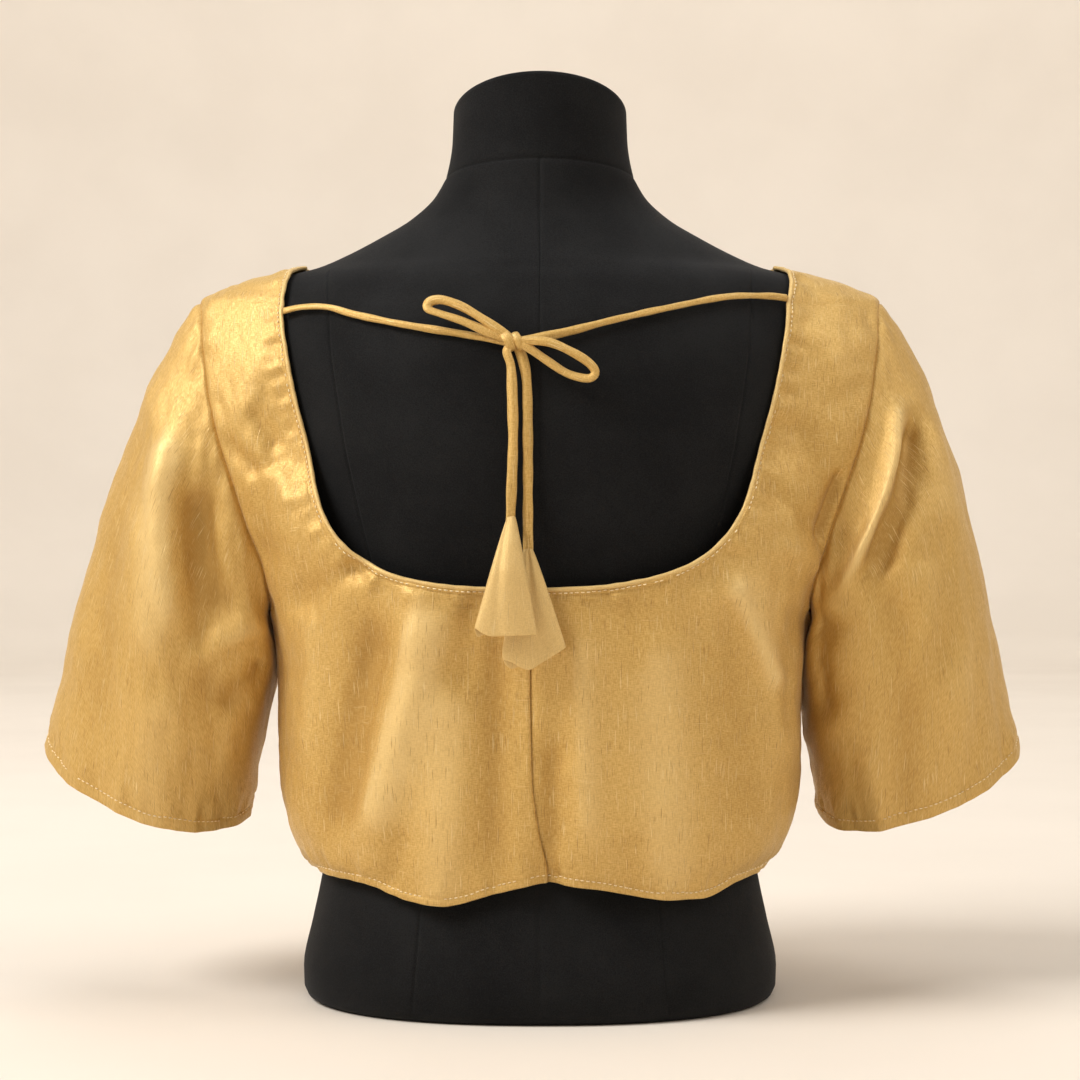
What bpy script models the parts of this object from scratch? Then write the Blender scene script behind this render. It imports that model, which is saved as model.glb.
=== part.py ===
"""Choli blouse of gold slub silk on a black limbless dress form.

Metres, +Z up. The origin is the middle of the form's flat underside. The wearer's back faces -Y
and the wearer's right is +X. Each cloth piece is a thin wall on one shared torso surface, or on
a sleeve that grows out of that surface's armhole, so neighbours meet edge to edge at each seam.
"""

import math

import bpy
import numpy as np

# Cloth and seams
WALL = 0.0014
SEAM_GAP = 0.0003
BINDING_RADIUS = 0.0013
BINDING_SINK = 0.00035
LEAST_CLEARANCE = 0.0026
LEAST_MITER = 0.6
UNDERARM_OPENING = 3.5
SETTLE_WIDTH = 0.055
SETTLE_RIDGE = 0.030
SETTLE_HEIGHTS = {"back": (0.262, 0.330), "front": (0.310, 0.370)}

# Grid of a half panel, and of a sleeve
PANEL_COLUMNS = 12
SIDE_ROWS = 13
ARMHOLE_ROWS = 15
PANEL_ROWS = SIDE_ROWS + ARMHOLE_ROWS
BACK_SEAM_ROWS = 8
FRONT_SEAM_ROWS = 12
SLEEVE_ROWS = 15
ROW_FALL = 1.6
LINE_SAMPLES = 400

# Garment heights above the floor
UNDERARM = 0.228
SHOULDER_TIP = 0.412
SHOULDER_NECK = 0.4328
BACK_NECK = 0.2435
FRONT_NECK = 0.300

# Armhole, as angles from the side seam, in degrees
ARMHOLE_LOW_ANGLE = 28.0
ARMHOLE_HIGH_ANGLE = 20.5
ARMHOLE_SQUARENESS = 0.55
NECK_SHIFT = -0.0040
NECK_SHIFT_FADE = 0.026

RING_COLUMNS = ("height", "half_width", "back", "front", "fullness")
FORM_RINGS = (
    (0.0000, 0.1345, 0.0990, 0.0900, 2.30),
    (0.0025, 0.1384, 0.1026, 0.0936, 2.30),
    (0.0070, 0.1404, 0.1046, 0.0957, 2.30),
    (0.0180, 0.1408, 0.1050, 0.0965, 2.30),
    (0.0450, 0.1355, 0.1015, 0.0950, 2.30),
    (0.0660, 0.1310, 0.0970, 0.0925, 2.30),
    (0.1000, 0.1252, 0.0905, 0.0905, 2.30),
    (0.1300, 0.1225, 0.0880, 0.0920, 2.30),
    (0.1600, 0.1240, 0.0890, 0.0985, 2.30),
    (0.2000, 0.1320, 0.0965, 0.1110, 2.30),
    (0.2400, 0.1430, 0.1035, 0.1235, 2.30),
    (0.2800, 0.1520, 0.1095, 0.1295, 2.25),
    (0.3200, 0.1600, 0.1115, 0.1245, 2.20),
    (0.3600, 0.1710, 0.1085, 0.1095, 2.05),
    (0.3850, 0.1780, 0.1030, 0.0980, 1.90),
    (0.4000, 0.1800, 0.0970, 0.0890, 1.78),
    (0.4120, 0.1785, 0.0905, 0.0810, 1.68),
    (0.4200, 0.1725, 0.0855, 0.0755, 1.64),
    (0.4255, 0.1620, 0.0810, 0.0715, 1.62),
    (0.4290, 0.1470, 0.0785, 0.0690, 1.62),
    (0.4320, 0.1350, 0.0760, 0.0665, 1.64),
    (0.4390, 0.1180, 0.0705, 0.0620, 1.70),
    (0.4500, 0.0965, 0.0635, 0.0575, 1.80),
    (0.4608, 0.0780, 0.0580, 0.0545, 1.90),
    (0.4752, 0.0624, 0.0535, 0.0530, 1.97),
    (0.4896, 0.0553, 0.0507, 0.0535, 2.00),
    (0.5065, 0.0525, 0.0490, 0.0550, 2.00),
    (0.5240, 0.0518, 0.0485, 0.0565, 2.00),
)
CLOTH_RINGS = (
    (0.0550, 0.1325, 0.1015, 0.1000, 2.30),
    (0.0750, 0.1338, 0.1035, 0.1015, 2.30),
    (0.0900, 0.1440, 0.1062, 0.1065, 2.30),
    (0.1050, 0.1505, 0.1085, 0.1110, 2.30),
    (0.1260, 0.1545, 0.1100, 0.1155, 2.30),
    (0.1600, 0.1552, 0.1112, 0.1205, 2.30),
    (0.1900, 0.1560, 0.1122, 0.1255, 2.30),
    (0.2100, 0.1580, 0.1132, 0.1290, 2.30),
    (0.2280, 0.1610, 0.1142, 0.1318, 2.30),
    (0.2500, 0.1700, 0.1152, 0.1345, 2.30),
    (0.2750, 0.1830, 0.1160, 0.1352, 2.28),
    (0.3000, 0.1925, 0.1162, 0.1335, 2.25),
    (0.3300, 0.2030, 0.1150, 0.1265, 2.20),
    (0.3600, 0.2090, 0.1120, 0.1145, 2.05),
    (0.3850, 0.2100, 0.1065, 0.1025, 1.90),
    (0.4000, 0.2080, 0.1005, 0.0930, 1.78),
    (0.4120, 0.2045, 0.0940, 0.0850, 1.68),
    (0.4180, 0.1950, 0.0900, 0.0810, 1.65),
    (0.4250, 0.1760, 0.0850, 0.0760, 1.62),
    (0.4310, 0.1460, 0.0805, 0.0715, 1.62),
    (0.4400, 0.1200, 0.0740, 0.0650, 1.70),
)

# The edges of the panels
NECKLINE_COLUMNS = ("half_width", "height")
BACK_NECKLINE = (
    (0.0000, BACK_NECK),
    (0.0350, 0.2448),
    (0.0650, 0.2490),
    (0.0900, 0.2575),
    (0.1065, 0.2705),
    (0.1195, 0.2880),
    (0.1298, 0.3110),
    (0.1378, 0.3360),
    (0.1436, 0.3620),
    (0.1470, 0.3880),
    (0.1482, 0.4080),
    (0.1472, 0.4215),
    (0.1438, 0.4290),
    (0.1380, SHOULDER_NECK),
)
FRONT_NECKLINE = (
    (0.0000, FRONT_NECK),
    (0.0300, 0.3020),
    (0.0600, 0.3095),
    (0.0850, 0.3225),
    (0.1050, 0.3410),
    (0.1200, 0.3630),
    (0.1330, 0.3880),
    (0.1415, 0.4120),
    (0.1425, 0.4260),
    (0.1380, SHOULDER_NECK),
)
HEM_COLUMNS = ("angle", "height")
HEM = (
    (-180.0, 0.0772),
    (-157.0, 0.0772),
    (-135.0, 0.0758),
    (-120.5, 0.0688),
    (-110.0, 0.0672),
    (-98.0, 0.0738),
    (-89.0, 0.0790),
    (-80.0, 0.0768),
    (-63.0, 0.0698),
    (-50.0, 0.0687),
    (-34.0, 0.0750),
    (-18.0, 0.0775),
    (0.0, 0.0770),
    (25.0, 0.0755),
    (48.0, 0.0722),
    (70.0, 0.0728),
    (90.0, 0.0755),
    (112.0, 0.0722),
    (134.0, 0.0728),
    (156.0, 0.0758),
    (180.0, 0.0772),
)
BACK_SEAM_COLUMNS = ("height", "x")
BACK_SEAM = (
    (0.0700, 0.0040),
    (0.0850, 0.0032),
    (0.1050, -0.0010),
    (0.1400, -0.0055),
    (0.2000, -0.0066),
    (0.2500, -0.0064),
)

# Sleeves: the armhole's middle, the path of the tube's middle, and the cuff's oval
SLEEVE_COLUMNS = ("side", "cuff_x", "cuff_y", "cuff_z", "cuff_half_width", "cuff_half_depth")
SLEEVES = (
    (-1, 0.2375, 0.0270, 0.1262, 0.0680, 0.0600),
    (1, 0.2285, 0.0270, 0.1262, 0.0670, 0.0600),
)
ARM_MIDDLE = (0.1850, 0.0, 0.3200)
ARM_LEAVES = (0.0850, 0.0060, -0.1500)
ARM_ARRIVES = (0.0350, 0.0400, -0.2000)
CUFF_RISE = math.radians(19.0)
CUFF_DIP = math.radians(19.0)
SLEEVE_BACK_BULGE = 0.0120
SLEEVE_FRONT_BULGE = 0.0090
SLEEVE_INNER_BULGE = 0.0100
SLEEVE_OUTER_BULGE = 0.0050
SLEEVE_OUTER_EARLY = 0.6

# The largest folds, each along a curve through three places in X and Z. Widths are on the two
# sides of that curve, and height is outward, or inward where it is negative.
FOLD_COLUMNS = (
    "cloth", "face", "x0", "z0", "x1", "z1", "x2", "z2", "left_width", "right_width", "height",
)
FOLDS = (
    ("torso", "back", -0.050, 0.255, -0.078, 0.170, -0.104, 0.085, 0.020, 0.022, 0.0042),
    ("torso", "back", -0.086, 0.250, -0.106, 0.170, -0.124, 0.080, 0.014, 0.012, -0.0046),
    ("torso", "back", -0.046, 0.200, -0.052, 0.130, -0.054, 0.040, 0.018, 0.020, 0.0044),
    ("torso", "back", -0.022, 0.240, -0.024, 0.150, -0.022, 0.050, 0.012, 0.012, -0.0030),
    ("torso", "back", 0.010, 0.170, 0.006, 0.115, 0.005, 0.045, 0.007, 0.010, -0.0046),
    ("torso", "back", 0.028, 0.245, 0.030, 0.160, 0.034, 0.060, 0.014, 0.016, 0.0022),
    ("torso", "back", 0.066, 0.230, 0.068, 0.150, 0.076, 0.040, 0.024, 0.022, 0.0048),
    ("torso", "back", 0.096, 0.240, 0.112, 0.175, 0.118, 0.085, 0.016, 0.016, -0.0030),
    ("torso", "back", 0.104, 0.262, 0.134, 0.210, 0.152, 0.120, 0.018, 0.020, 0.0040),
    ("torso", "back", -0.086, 0.262, -0.115, 0.248, -0.150, 0.228, 0.008, 0.009, -0.0030),
    ("torso", "back", -0.150, 0.330, -0.160, 0.290, -0.150, 0.245, 0.012, 0.010, -0.0026),
    ("torso", "back", 0.150, 0.350, 0.163, 0.305, 0.158, 0.262, 0.010, 0.012, -0.0030),
    ("torso", "front", -0.070, 0.270, -0.078, 0.170, -0.070, 0.040, 0.022, 0.020, 0.0050),
    ("torso", "front", -0.112, 0.250, -0.108, 0.170, -0.104, 0.060, 0.014, 0.016, -0.0040),
    ("torso", "front", -0.036, 0.230, -0.032, 0.150, -0.034, 0.040, 0.014, 0.014, -0.0034),
    ("torso", "front", 0.074, 0.275, 0.082, 0.170, 0.078, 0.040, 0.020, 0.022, 0.0052),
    ("torso", "front", 0.116, 0.255, 0.112, 0.180, 0.106, 0.060, 0.015, 0.014, -0.0040),
    ("torso", "front", 0.040, 0.225, 0.034, 0.150, 0.036, 0.040, 0.014, 0.013, -0.0032),
    ("torso", "front", -0.125, 0.345, -0.110, 0.315, -0.085, 0.290, 0.011, 0.013, -0.0026),
    ("torso", "front", 0.126, 0.350, 0.112, 0.318, 0.082, 0.292, 0.012, 0.011, -0.0028),
    ("left_sleeve", "back", -0.204, 0.352, -0.224, 0.270, -0.218, 0.175, 0.012, 0.014, 0.0048),
    ("left_sleeve", "back", -0.192, 0.318, -0.198, 0.240, -0.186, 0.150, 0.010, 0.010, -0.0052),
    ("left_sleeve", "back", -0.232, 0.350, -0.252, 0.260, -0.262, 0.120, 0.014, 0.014, -0.0036),
    ("left_sleeve", "back", -0.214, 0.190, -0.226, 0.140, -0.230, 0.060, 0.016, 0.016, 0.0036),
    ("left_sleeve", "front", -0.202, 0.340, -0.222, 0.260, -0.214, 0.150, 0.013, 0.012, 0.0046),
    ("left_sleeve", "front", -0.230, 0.345, -0.248, 0.250, -0.254, 0.090, 0.012, 0.014, -0.0044),
    ("left_sleeve", "front", -0.186, 0.290, -0.190, 0.220, -0.188, 0.110, 0.010, 0.010, -0.0036),
    ("right_sleeve", "back", 0.205, 0.358, 0.200, 0.300, 0.166, 0.228, 0.010, 0.006, 0.0075),
    ("right_sleeve", "back", 0.216, 0.350, 0.214, 0.300, 0.180, 0.225, 0.007, 0.011, -0.0070),
    ("right_sleeve", "back", 0.222, 0.350, 0.240, 0.270, 0.246, 0.130, 0.014, 0.014, 0.0036),
    ("right_sleeve", "back", 0.200, 0.250, 0.212, 0.190, 0.216, 0.080, 0.012, 0.012, -0.0040),
    ("right_sleeve", "front", 0.204, 0.345, 0.220, 0.262, 0.212, 0.150, 0.013, 0.012, 0.0046),
    ("right_sleeve", "front", 0.228, 0.340, 0.244, 0.245, 0.248, 0.090, 0.014, 0.012, -0.0042),
    ("right_sleeve", "front", 0.186, 0.295, 0.192, 0.225, 0.190, 0.110, 0.010, 0.010, -0.0036),
)
FOLD_STEPS = 12
FOLD_TAPER = 0.22
FACING_GAIN = 1.8
SLEEVE_FOLD_START = 0.10

# Tie cords, as places on the form's back: X, Z and the cord's clearance above the form
CORD_RADIUS = 0.0023
CORD_STEP = 0.0075
ROUTE_STEPS = 24
TIE_START_GAP = 0.0012
ROUTE_COLUMNS = ("x", "z", "clearance")
TIE_HEIGHTS = {"left": 0.4010, "right": 0.4095}
TIES = {
    "left": (
        (-0.1335, 0.4022, 0.0012),
        (-0.1190, 0.4006, 0.0010),
        (-0.1040, 0.3962, 0.0008),
        (-0.0767, 0.3898, 0.0008),
        (-0.0446, 0.3845, 0.0012),
        (-0.0190, 0.3803, 0.0022),
    ),
    "right": (
        (0.1290, 0.4105, 0.0012),
        (0.1045, 0.4063, 0.0010),
        (0.0737, 0.3994, 0.0008),
        (0.0430, 0.3923, 0.0008),
        (0.0133, 0.3848, 0.0012),
        (-0.0110, 0.3806, 0.0022),
    ),
}
BOWS = {
    "left": (
        (-0.0195, 0.3835, 0.0065),
        (-0.0327, 0.3937, 0.0085),
        (-0.0442, 0.4003, 0.0105),
        (-0.0548, 0.4040, 0.0120),
        (-0.0605, 0.4030, 0.0122),
        (-0.0615, 0.3988, 0.0118),
        (-0.0562, 0.3960, 0.0108),
        (-0.0443, 0.3918, 0.0085),
        (-0.0288, 0.3853, 0.0060),
    ),
    "right": (
        (-0.0140, 0.3793, 0.0062),
        (0.0033, 0.3785, 0.0088),
        (0.0172, 0.3732, 0.0088),
        (0.0278, 0.3662, 0.0085),
        (0.0312, 0.3612, 0.0080),
        (0.0270, 0.3578, 0.0070),
        (0.0149, 0.3610, 0.0050),
        (0.0040, 0.3680, 0.0052),
        (-0.0085, 0.3765, 0.0066),
    ),
}
TAILS = {
    "left": (
        (-0.0196, 0.3735, 0.0062),
        (-0.0158, 0.3643, 0.0050),
        (-0.0149, 0.3476, 0.0042),
        (-0.0145, 0.3255, 0.0042),
        (-0.0152, 0.3000, 0.0052),
        (-0.0156, 0.2830, 0.0078),
    ),
    "right": (
        (-0.0118, 0.3765, 0.0022),
        (-0.0074, 0.3588, 0.0020),
        (-0.0066, 0.3255, 0.0012),
        (-0.0066, 0.2860, 0.0026),
        (-0.0064, 0.2672, 0.0088),
    ),
}
KNOT_MIDDLE = (-0.0150, 0.3795, 0.0042)
KNOT_HALF_SIZES = (0.0070, 0.0048, 0.0056)
KNOT_CLEARANCE = 0.0008
KNOT_RINGS = 10
KNOT_STEPS = 16

# Folded cloth pendants: each row gives the left and right edge and the two faces
PENDANT_COLUMNS = ("height", "left", "right", "front_y", "back_y")
PENDANTS = {
    "left": (
        (0.2826, -0.0178, -0.0134, -0.1270, -0.1222),
        (0.2770, -0.0196, -0.0116, -0.1285, -0.1215),
        (0.2600, -0.0236, -0.0084, -0.1312, -0.1250),
        (0.2420, -0.0292, -0.0048, -0.1332, -0.1268),
        (0.2270, -0.0345, -0.0020, -0.1345, -0.1268),
        (0.2205, -0.0352, -0.0008, -0.1340, -0.1270),
    ),
    "right": (
        (0.2648, -0.0088, -0.0040, -0.1222, -0.1180),
        (0.2560, -0.0104, -0.0016, -0.1240, -0.1188),
        (0.2420, -0.0132, 0.0042, -0.1256, -0.1192),
        (0.2260, -0.0168, 0.0098, -0.1258, -0.1190),
        (0.2110, -0.0200, 0.0142, -0.1256, -0.1188),
        (0.2020, -0.0130, 0.0040, -0.1250, -0.1190),
    ),
}
PENDANT_STEPS = 16
PENDANT_FULLNESS = 2.4

# Dress form
FORM_COLUMNS_AROUND = 36
FORM_BODY = (0.018, 0.400)
FORM_BODY_ROWS = 16
NECK_SLANT = 0.36
NECK_SLANT_START = 0.462
NECK_CAP_RISE = 0.0035
NECK_CAP_STEPS = (0.93, 0.6)

COLOURS = {
    "gold_silk": ((0.72, 0.44, 0.13, 1.0), 0.45),
    "black_cover": ((0.012, 0.012, 0.013, 1.0), 0.75),
}


def table(columns, rows):
    """Each named column of a table as an array."""
    return {name: np.array([row[i] for row in rows]) for i, name in enumerate(columns)}


def smooth_curve(places, values, at):
    """A smooth curve through a table's values that doesn't overshoot them."""
    step = np.diff(places)
    slope = np.diff(values) / step
    product = slope[1:] * slope[:-1]
    total = slope[1:] + slope[:-1]
    shared = np.where(product > 0, 2 * product / np.where(product > 0, total, 1), 0)
    slopes = np.concatenate([slope[:1], shared, slope[-1:]])
    i = np.clip(np.searchsorted(places, at, side="right") - 1, 0, len(step) - 1)
    t = (at - places[i]) / step[i]
    rest = 1 - t
    ends = values[i] * (1 + 2 * t) * rest**2 + values[i + 1] * (3 - 2 * t) * t**2
    return ends + step[i] * (slopes[i] * t * rest**2 - slopes[i + 1] * rest * t**2)


def smooth_step(low, high, at):
    t = np.clip((at - low) / (high - low), 0, 1)
    return t * t * (3 - 2 * t)


def unit(vectors):
    return vectors / np.maximum(np.linalg.norm(vectors, axis=-1, keepdims=True), 1e-12)


FORM = table(RING_COLUMNS, FORM_RINGS)
CLOTH = table(RING_COLUMNS, CLOTH_RINGS)
NECKLINES = {
    "back": table(NECKLINE_COLUMNS, BACK_NECKLINE),
    "front": table(NECKLINE_COLUMNS, FRONT_NECKLINE),
}
HEM_LINE = table(HEM_COLUMNS, HEM)
SEAM_LINE = table(BACK_SEAM_COLUMNS, BACK_SEAM)


def ring_point(rings, angle, height):
    """A point on a stack of level oval rings. Angle 0 is the right side and 90 degrees the front."""
    half, back, front, fullness = (
        smooth_curve(rings["height"], rings[name], height) for name in RING_COLUMNS[1:]
    )
    across = np.cos(angle)
    along = np.sin(angle)
    x = half * np.sign(across) * np.abs(across) ** (2 / fullness)
    y = np.where(along > 0, front, back) * np.sign(along) * np.abs(along) ** (2 / fullness)
    return np.stack([x, y, height + 0 * x], axis=-1)


def ring_angle(rings, x, height, face):
    """The angle at which a ring passes a given X, on its front or its back."""
    half = smooth_curve(rings["height"], rings["half_width"], height)
    fullness = smooth_curve(rings["height"], rings["fullness"], height)
    share = np.clip(np.abs(x) / half, 0, 1) ** (fullness / 2)
    angle = np.arccos(np.sign(x) * share)
    return angle if face == "front" else -angle


def normal_of(surface, a, b, step_a=1e-3, step_b=2e-4):
    """The surface's direction outward, from points close by."""
    along_a = surface(a + step_a, b) - surface(a - step_a, b)
    along_b = surface(a, b + step_b) - surface(a, b - step_b)
    return unit(np.cross(along_a, along_b))


def clearance(points):
    """Distance of points outside the form, and the direction straight away from it."""
    def share(at):
        half, back, front, fullness = (
            smooth_curve(FORM["height"], FORM[name], at[..., 2]) for name in RING_COLUMNS[1:]
        )
        across = np.abs(at[..., 0]) / half
        along = np.abs(at[..., 1]) / np.where(at[..., 1] > 0, front, back)
        return (across**fullness + along**fullness) ** (1 / fullness)

    steps = 1e-4 * np.eye(3)
    slope = np.stack([(share(points + step) - share(points - step)) / 2e-4 for step in steps], -1)
    steepness = np.linalg.norm(slope, axis=-1)
    return (share(points) - 1) / steepness, slope / steepness[..., None]


def curve_distance(route, x, z):
    """How far points lie from a curve in X and Z, where along it, and on which side."""
    t = np.linspace(0, 1, FOLD_STEPS + 1)
    (x0, z0), (x1, z1), (x2, z2) = route
    xs = x0 + t * (4 * x1 - 3 * x0 - x2) + t**2 * (2 * x0 - 4 * x1 + 2 * x2)
    zs = z0 + t * (4 * z1 - 3 * z0 - z2) + t**2 * (2 * z0 - 4 * z1 + 2 * z2)
    nearest = np.full(np.shape(x), np.inf)
    where = np.zeros(np.shape(x))
    turn = np.zeros(np.shape(x))
    for i in range(FOLD_STEPS):
        run_x = xs[i + 1] - xs[i]
        run_z = zs[i + 1] - zs[i]
        reach = ((x - xs[i]) * run_x + (z - zs[i]) * run_z) / (run_x**2 + run_z**2)
        reach = np.clip(reach, 0, 1)
        off_x = x - xs[i] - reach * run_x
        off_z = z - zs[i] - reach * run_z
        distance = np.hypot(off_x, off_z)
        closer = distance < nearest
        nearest = np.where(closer, distance, nearest)
        where = np.where(closer, t[i] + reach / FOLD_STEPS, where)
        turn = np.where(closer, run_x * off_z - run_z * off_x, turn)
    return nearest, where, turn


def fold_height(cloth, points, normals):
    """How far the folds lift or sink the cloth at each point."""
    total = np.zeros(points.shape[:-1])
    for fold in FOLDS:
        row = dict(zip(FOLD_COLUMNS, fold))
        if row["cloth"] != cloth:
            continue
        toward = -1 if row["face"] == "back" else 1
        facing = smooth_step(0, 1, normals[..., 1] * toward * FACING_GAIN)
        route = ((row["x0"], row["z0"]), (row["x1"], row["z1"]), (row["x2"], row["z2"]))
        distance, along, turn = curve_distance(route, points[..., 0], points[..., 2])
        width = np.where(turn > 0, row["left_width"], row["right_width"])
        taper = smooth_step(0, FOLD_TAPER, along) * smooth_step(0, FOLD_TAPER, 1 - along)
        total += row["height"] * facing * taper * np.exp(-((distance / width) ** 2))
    return total


def torso(angle, height):
    """The outside of the blouse's body: folds, and rest on the form beside the neck edge."""
    def plain(a, b):
        return ring_point(CLOTH, a, b)

    points = plain(angle, height)
    normals = normal_of(plain, angle, height)
    room, _ = clearance(points)
    lift = fold_height("torso", points, normals)
    lift -= np.maximum(room - LEAST_CLEARANCE, 0) * settled(points)
    points = points + normals * lift[..., None]
    room, away = clearance(points)
    return points + away * np.maximum(LEAST_CLEARANCE - room, 0)[..., None]


def settled(points):
    """How much of the way the cloth sinks to the form: all at the neck edge, none far from it."""
    x, y, height = (points[..., i] for i in range(3))
    share = np.zeros(x.shape)
    for face, here in (("back", y <= 0), ("front", y > 0)):
        edge = NECKLINES[face]
        width = smooth_curve(edge["height"], edge["half_width"], height)
        near = 1 - smooth_step(0, 1, (np.abs(x) - width) / SETTLE_WIDTH)
        near *= smooth_step(*SETTLE_HEIGHTS[face], height)
        share = np.where(here, near, share)
    return share * smooth_step(0, SETTLE_RIDGE, np.abs(y))


def even_samples(angles, heights, count):
    """Angles and heights at equal steps of length along a line on the torso."""
    points = ring_point(CLOTH, angles, heights)
    lengths = np.concatenate([[0], np.cumsum(np.linalg.norm(np.diff(points, axis=0), axis=1))])
    places = np.linspace(0, lengths[-1], count)
    return np.interp(places, lengths, angles), np.interp(places, lengths, heights)


def neckline(side, face, count):
    """From the centre seam round the neck edge to the shoulder seam."""
    edge = NECKLINES[face]
    steps = np.hypot(np.diff(edge["half_width"]), np.diff(edge["height"]))
    places = np.concatenate([[0], np.cumsum(steps)])
    dense = np.linspace(0, places[-1], LINE_SAMPLES)
    width = smooth_curve(places, edge["half_width"], dense)
    height = smooth_curve(places, edge["height"], dense)
    seam = centre_x(face, height[0]) * (1 - width / width[-1])
    shift = NECK_SHIFT * smooth_step(0, 1, width / width.max() * 2)
    shift = shift * smooth_step(0, 1, (SHOULDER_NECK - height) / NECK_SHIFT_FADE)
    x = side * width + seam + shift
    x[-1] = side * smooth_curve(CLOTH["height"], CLOTH["half_width"], height[-1])
    return even_samples(ring_angle(CLOTH, x, height, face), height, count)


def centre_x(face, height):
    if face == "front":
        return 0 * height
    return smooth_curve(SEAM_LINE["height"], SEAM_LINE["x"], height)


def armhole(side, face, count):
    """From the underarm up one face of the armhole to the shoulder's tip."""
    u = np.linspace(0, 1, LINE_SAMPLES)
    height = UNDERARM + (SHOULDER_TIP - UNDERARM) * (1 - np.cos(math.pi * u)) / 2
    widest = ARMHOLE_LOW_ANGLE + (ARMHOLE_HIGH_ANGLE - ARMHOLE_LOW_ANGLE) * u
    opening = np.radians(widest) * np.abs(np.sin(math.pi * u)) ** ARMHOLE_SQUARENESS
    opening[[0, -1]] = 0
    angle = opening if side > 0 else math.pi - opening
    return even_samples(angle if face == "front" else -angle, height, count)


def panel_grid(side, face):
    """Angle and height of each grid point of a half panel: rows go up, columns go outward."""
    seam_rows = BACK_SEAM_ROWS if face == "back" else FRONT_SEAM_ROWS
    neck_angle, neck_height = neckline(side, face, PANEL_ROWS - seam_rows + 1)
    seam_height = np.linspace(hem_height(neck_angle[0]), neck_height[0], seam_rows + 1)
    seam_angle = ring_angle(CLOTH, centre_x(face, seam_height), seam_height, face)
    inner_angle = np.concatenate([seam_angle[:-1], neck_angle])
    inner_height = np.concatenate([seam_height[:-1], neck_height])
    arm_angle, arm_height = armhole(side, face, ARMHOLE_ROWS + 1)
    side_height = np.linspace(hem_height(arm_angle[0]), UNDERARM, SIDE_ROWS + 1)
    outer_angle = np.concatenate([np.full(SIDE_ROWS, arm_angle[0]), arm_angle])
    outer_height = np.concatenate([side_height[:-1], arm_height])
    across = np.linspace(0, 1, PANEL_COLUMNS + 1)
    fall = 1 - (1 - across) ** ROW_FALL
    angle = inner_angle[:, None] + (outer_angle - inner_angle)[:, None] * across
    height = inner_height[:, None] + (outer_height - inner_height)[:, None] * fall
    near_hem = np.clip(1 - np.arange(PANEL_ROWS + 1) / seam_rows, 0, 1) ** 1.5
    height += near_hem[:, None] * (hem_height(angle[0]) - height[0])
    return angle, height


def hem_height(angle):
    return smooth_curve(HEM_LINE["angle"], HEM_LINE["height"], np.degrees(angle))


def armhole_loop(side, count):
    """The whole armhole, from the shoulder's tip down the back and up the front."""
    back_angle, back_height = armhole(side, "back", count + 1)
    front_angle, front_height = armhole(side, "front", count + 1)
    angle = np.concatenate([back_angle[::-1], front_angle[1:-1]])
    height = np.concatenate([back_height[::-1], front_height[1:-1]])
    return angle, height


def hermite(start, end, leaves, arrives, t):
    """A smooth path between two places with set directions at its ends."""
    start, end, leaves, arrives = (np.asarray(v)[None] for v in (start, end, leaves, arrives))
    t = np.asarray(t)[..., None]
    path = (2 * t**3 - 3 * t**2 + 1) * start + (3 * t**2 - 2 * t**3) * end
    return path + (t**3 - 2 * t**2 + t) * leaves + (t**3 - t**2) * arrives


def sleeve_surface(side, edge, turn, t):
    """Points of a sleeve: edge holds armhole points, turn the angle round, t the way down."""
    row = dict(zip(SLEEVE_COLUMNS, next(r for r in SLEEVES if r[0] == side)))
    mirror = np.array([side, 1, 1])
    cuff_middle = np.array([row["cuff_x"], row["cuff_y"], row["cuff_z"]])
    outward = np.array([math.cos(CUFF_RISE), 0, math.sin(CUFF_RISE)])
    backward = np.array([0, -math.cos(CUFF_DIP), -math.sin(CUFF_DIP)])
    cuff = row["cuff_half_width"] * np.cos(turn)[..., None] * outward
    cuff = cuff + row["cuff_half_depth"] * np.sin(turn)[..., None] * backward
    middle = hermite(ARM_MIDDLE, cuff_middle, ARM_LEAVES, ARM_ARRIVES, t)
    start = edge * mirror - np.array(ARM_MIDDLE)
    down = t[..., None]
    points = middle + (1 - down) * start + down * cuff
    swell = np.sin(math.pi * t)
    points[..., 1] -= SLEEVE_BACK_BULGE * swell * np.maximum(np.sin(turn), 0)
    points[..., 1] += SLEEVE_FRONT_BULGE * swell * np.maximum(-np.sin(turn), 0)
    points[..., 0] -= SLEEVE_INNER_BULGE * swell * np.maximum(-np.cos(turn), 0)
    early = np.sin(math.pi * t**SLEEVE_OUTER_EARLY)
    points[..., 0] += SLEEVE_OUTER_BULGE * early * np.maximum(np.cos(turn), 0)
    return points * mirror


def sleeve_grid(side):
    """Points and outward directions of a sleeve: rows go down, columns go round the armhole."""
    columns = 2 * ARMHOLE_ROWS
    edge = torso(*armhole_loop(side, ARMHOLE_ROWS))
    turn = np.linspace(0, 2 * math.pi, columns, endpoint=False)
    t = np.linspace(0, 1, SLEEVE_ROWS + 1)
    plain = sleeve_surface(side, edge[None], turn[None] + 0 * t[:, None], t[:, None] + 0 * turn)
    normals = grid_normals(plain, side)
    cloth = "right_sleeve" if side > 0 else "left_sleeve"
    lift = fold_height(cloth, plain, normals)
    lift *= smooth_step(0, SLEEVE_FOLD_START, t)[:, None]
    points = plain + normals * lift[..., None]
    return points, grid_normals(points, side)


def grid_normals(points, side):
    """Outward directions of a tube's grid whose columns close on themselves."""
    round_it = np.roll(points, -1, axis=1) - np.roll(points, 1, axis=1)
    down_it = np.gradient(points, axis=0)
    return unit(np.cross(round_it, down_it)) * side


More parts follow.
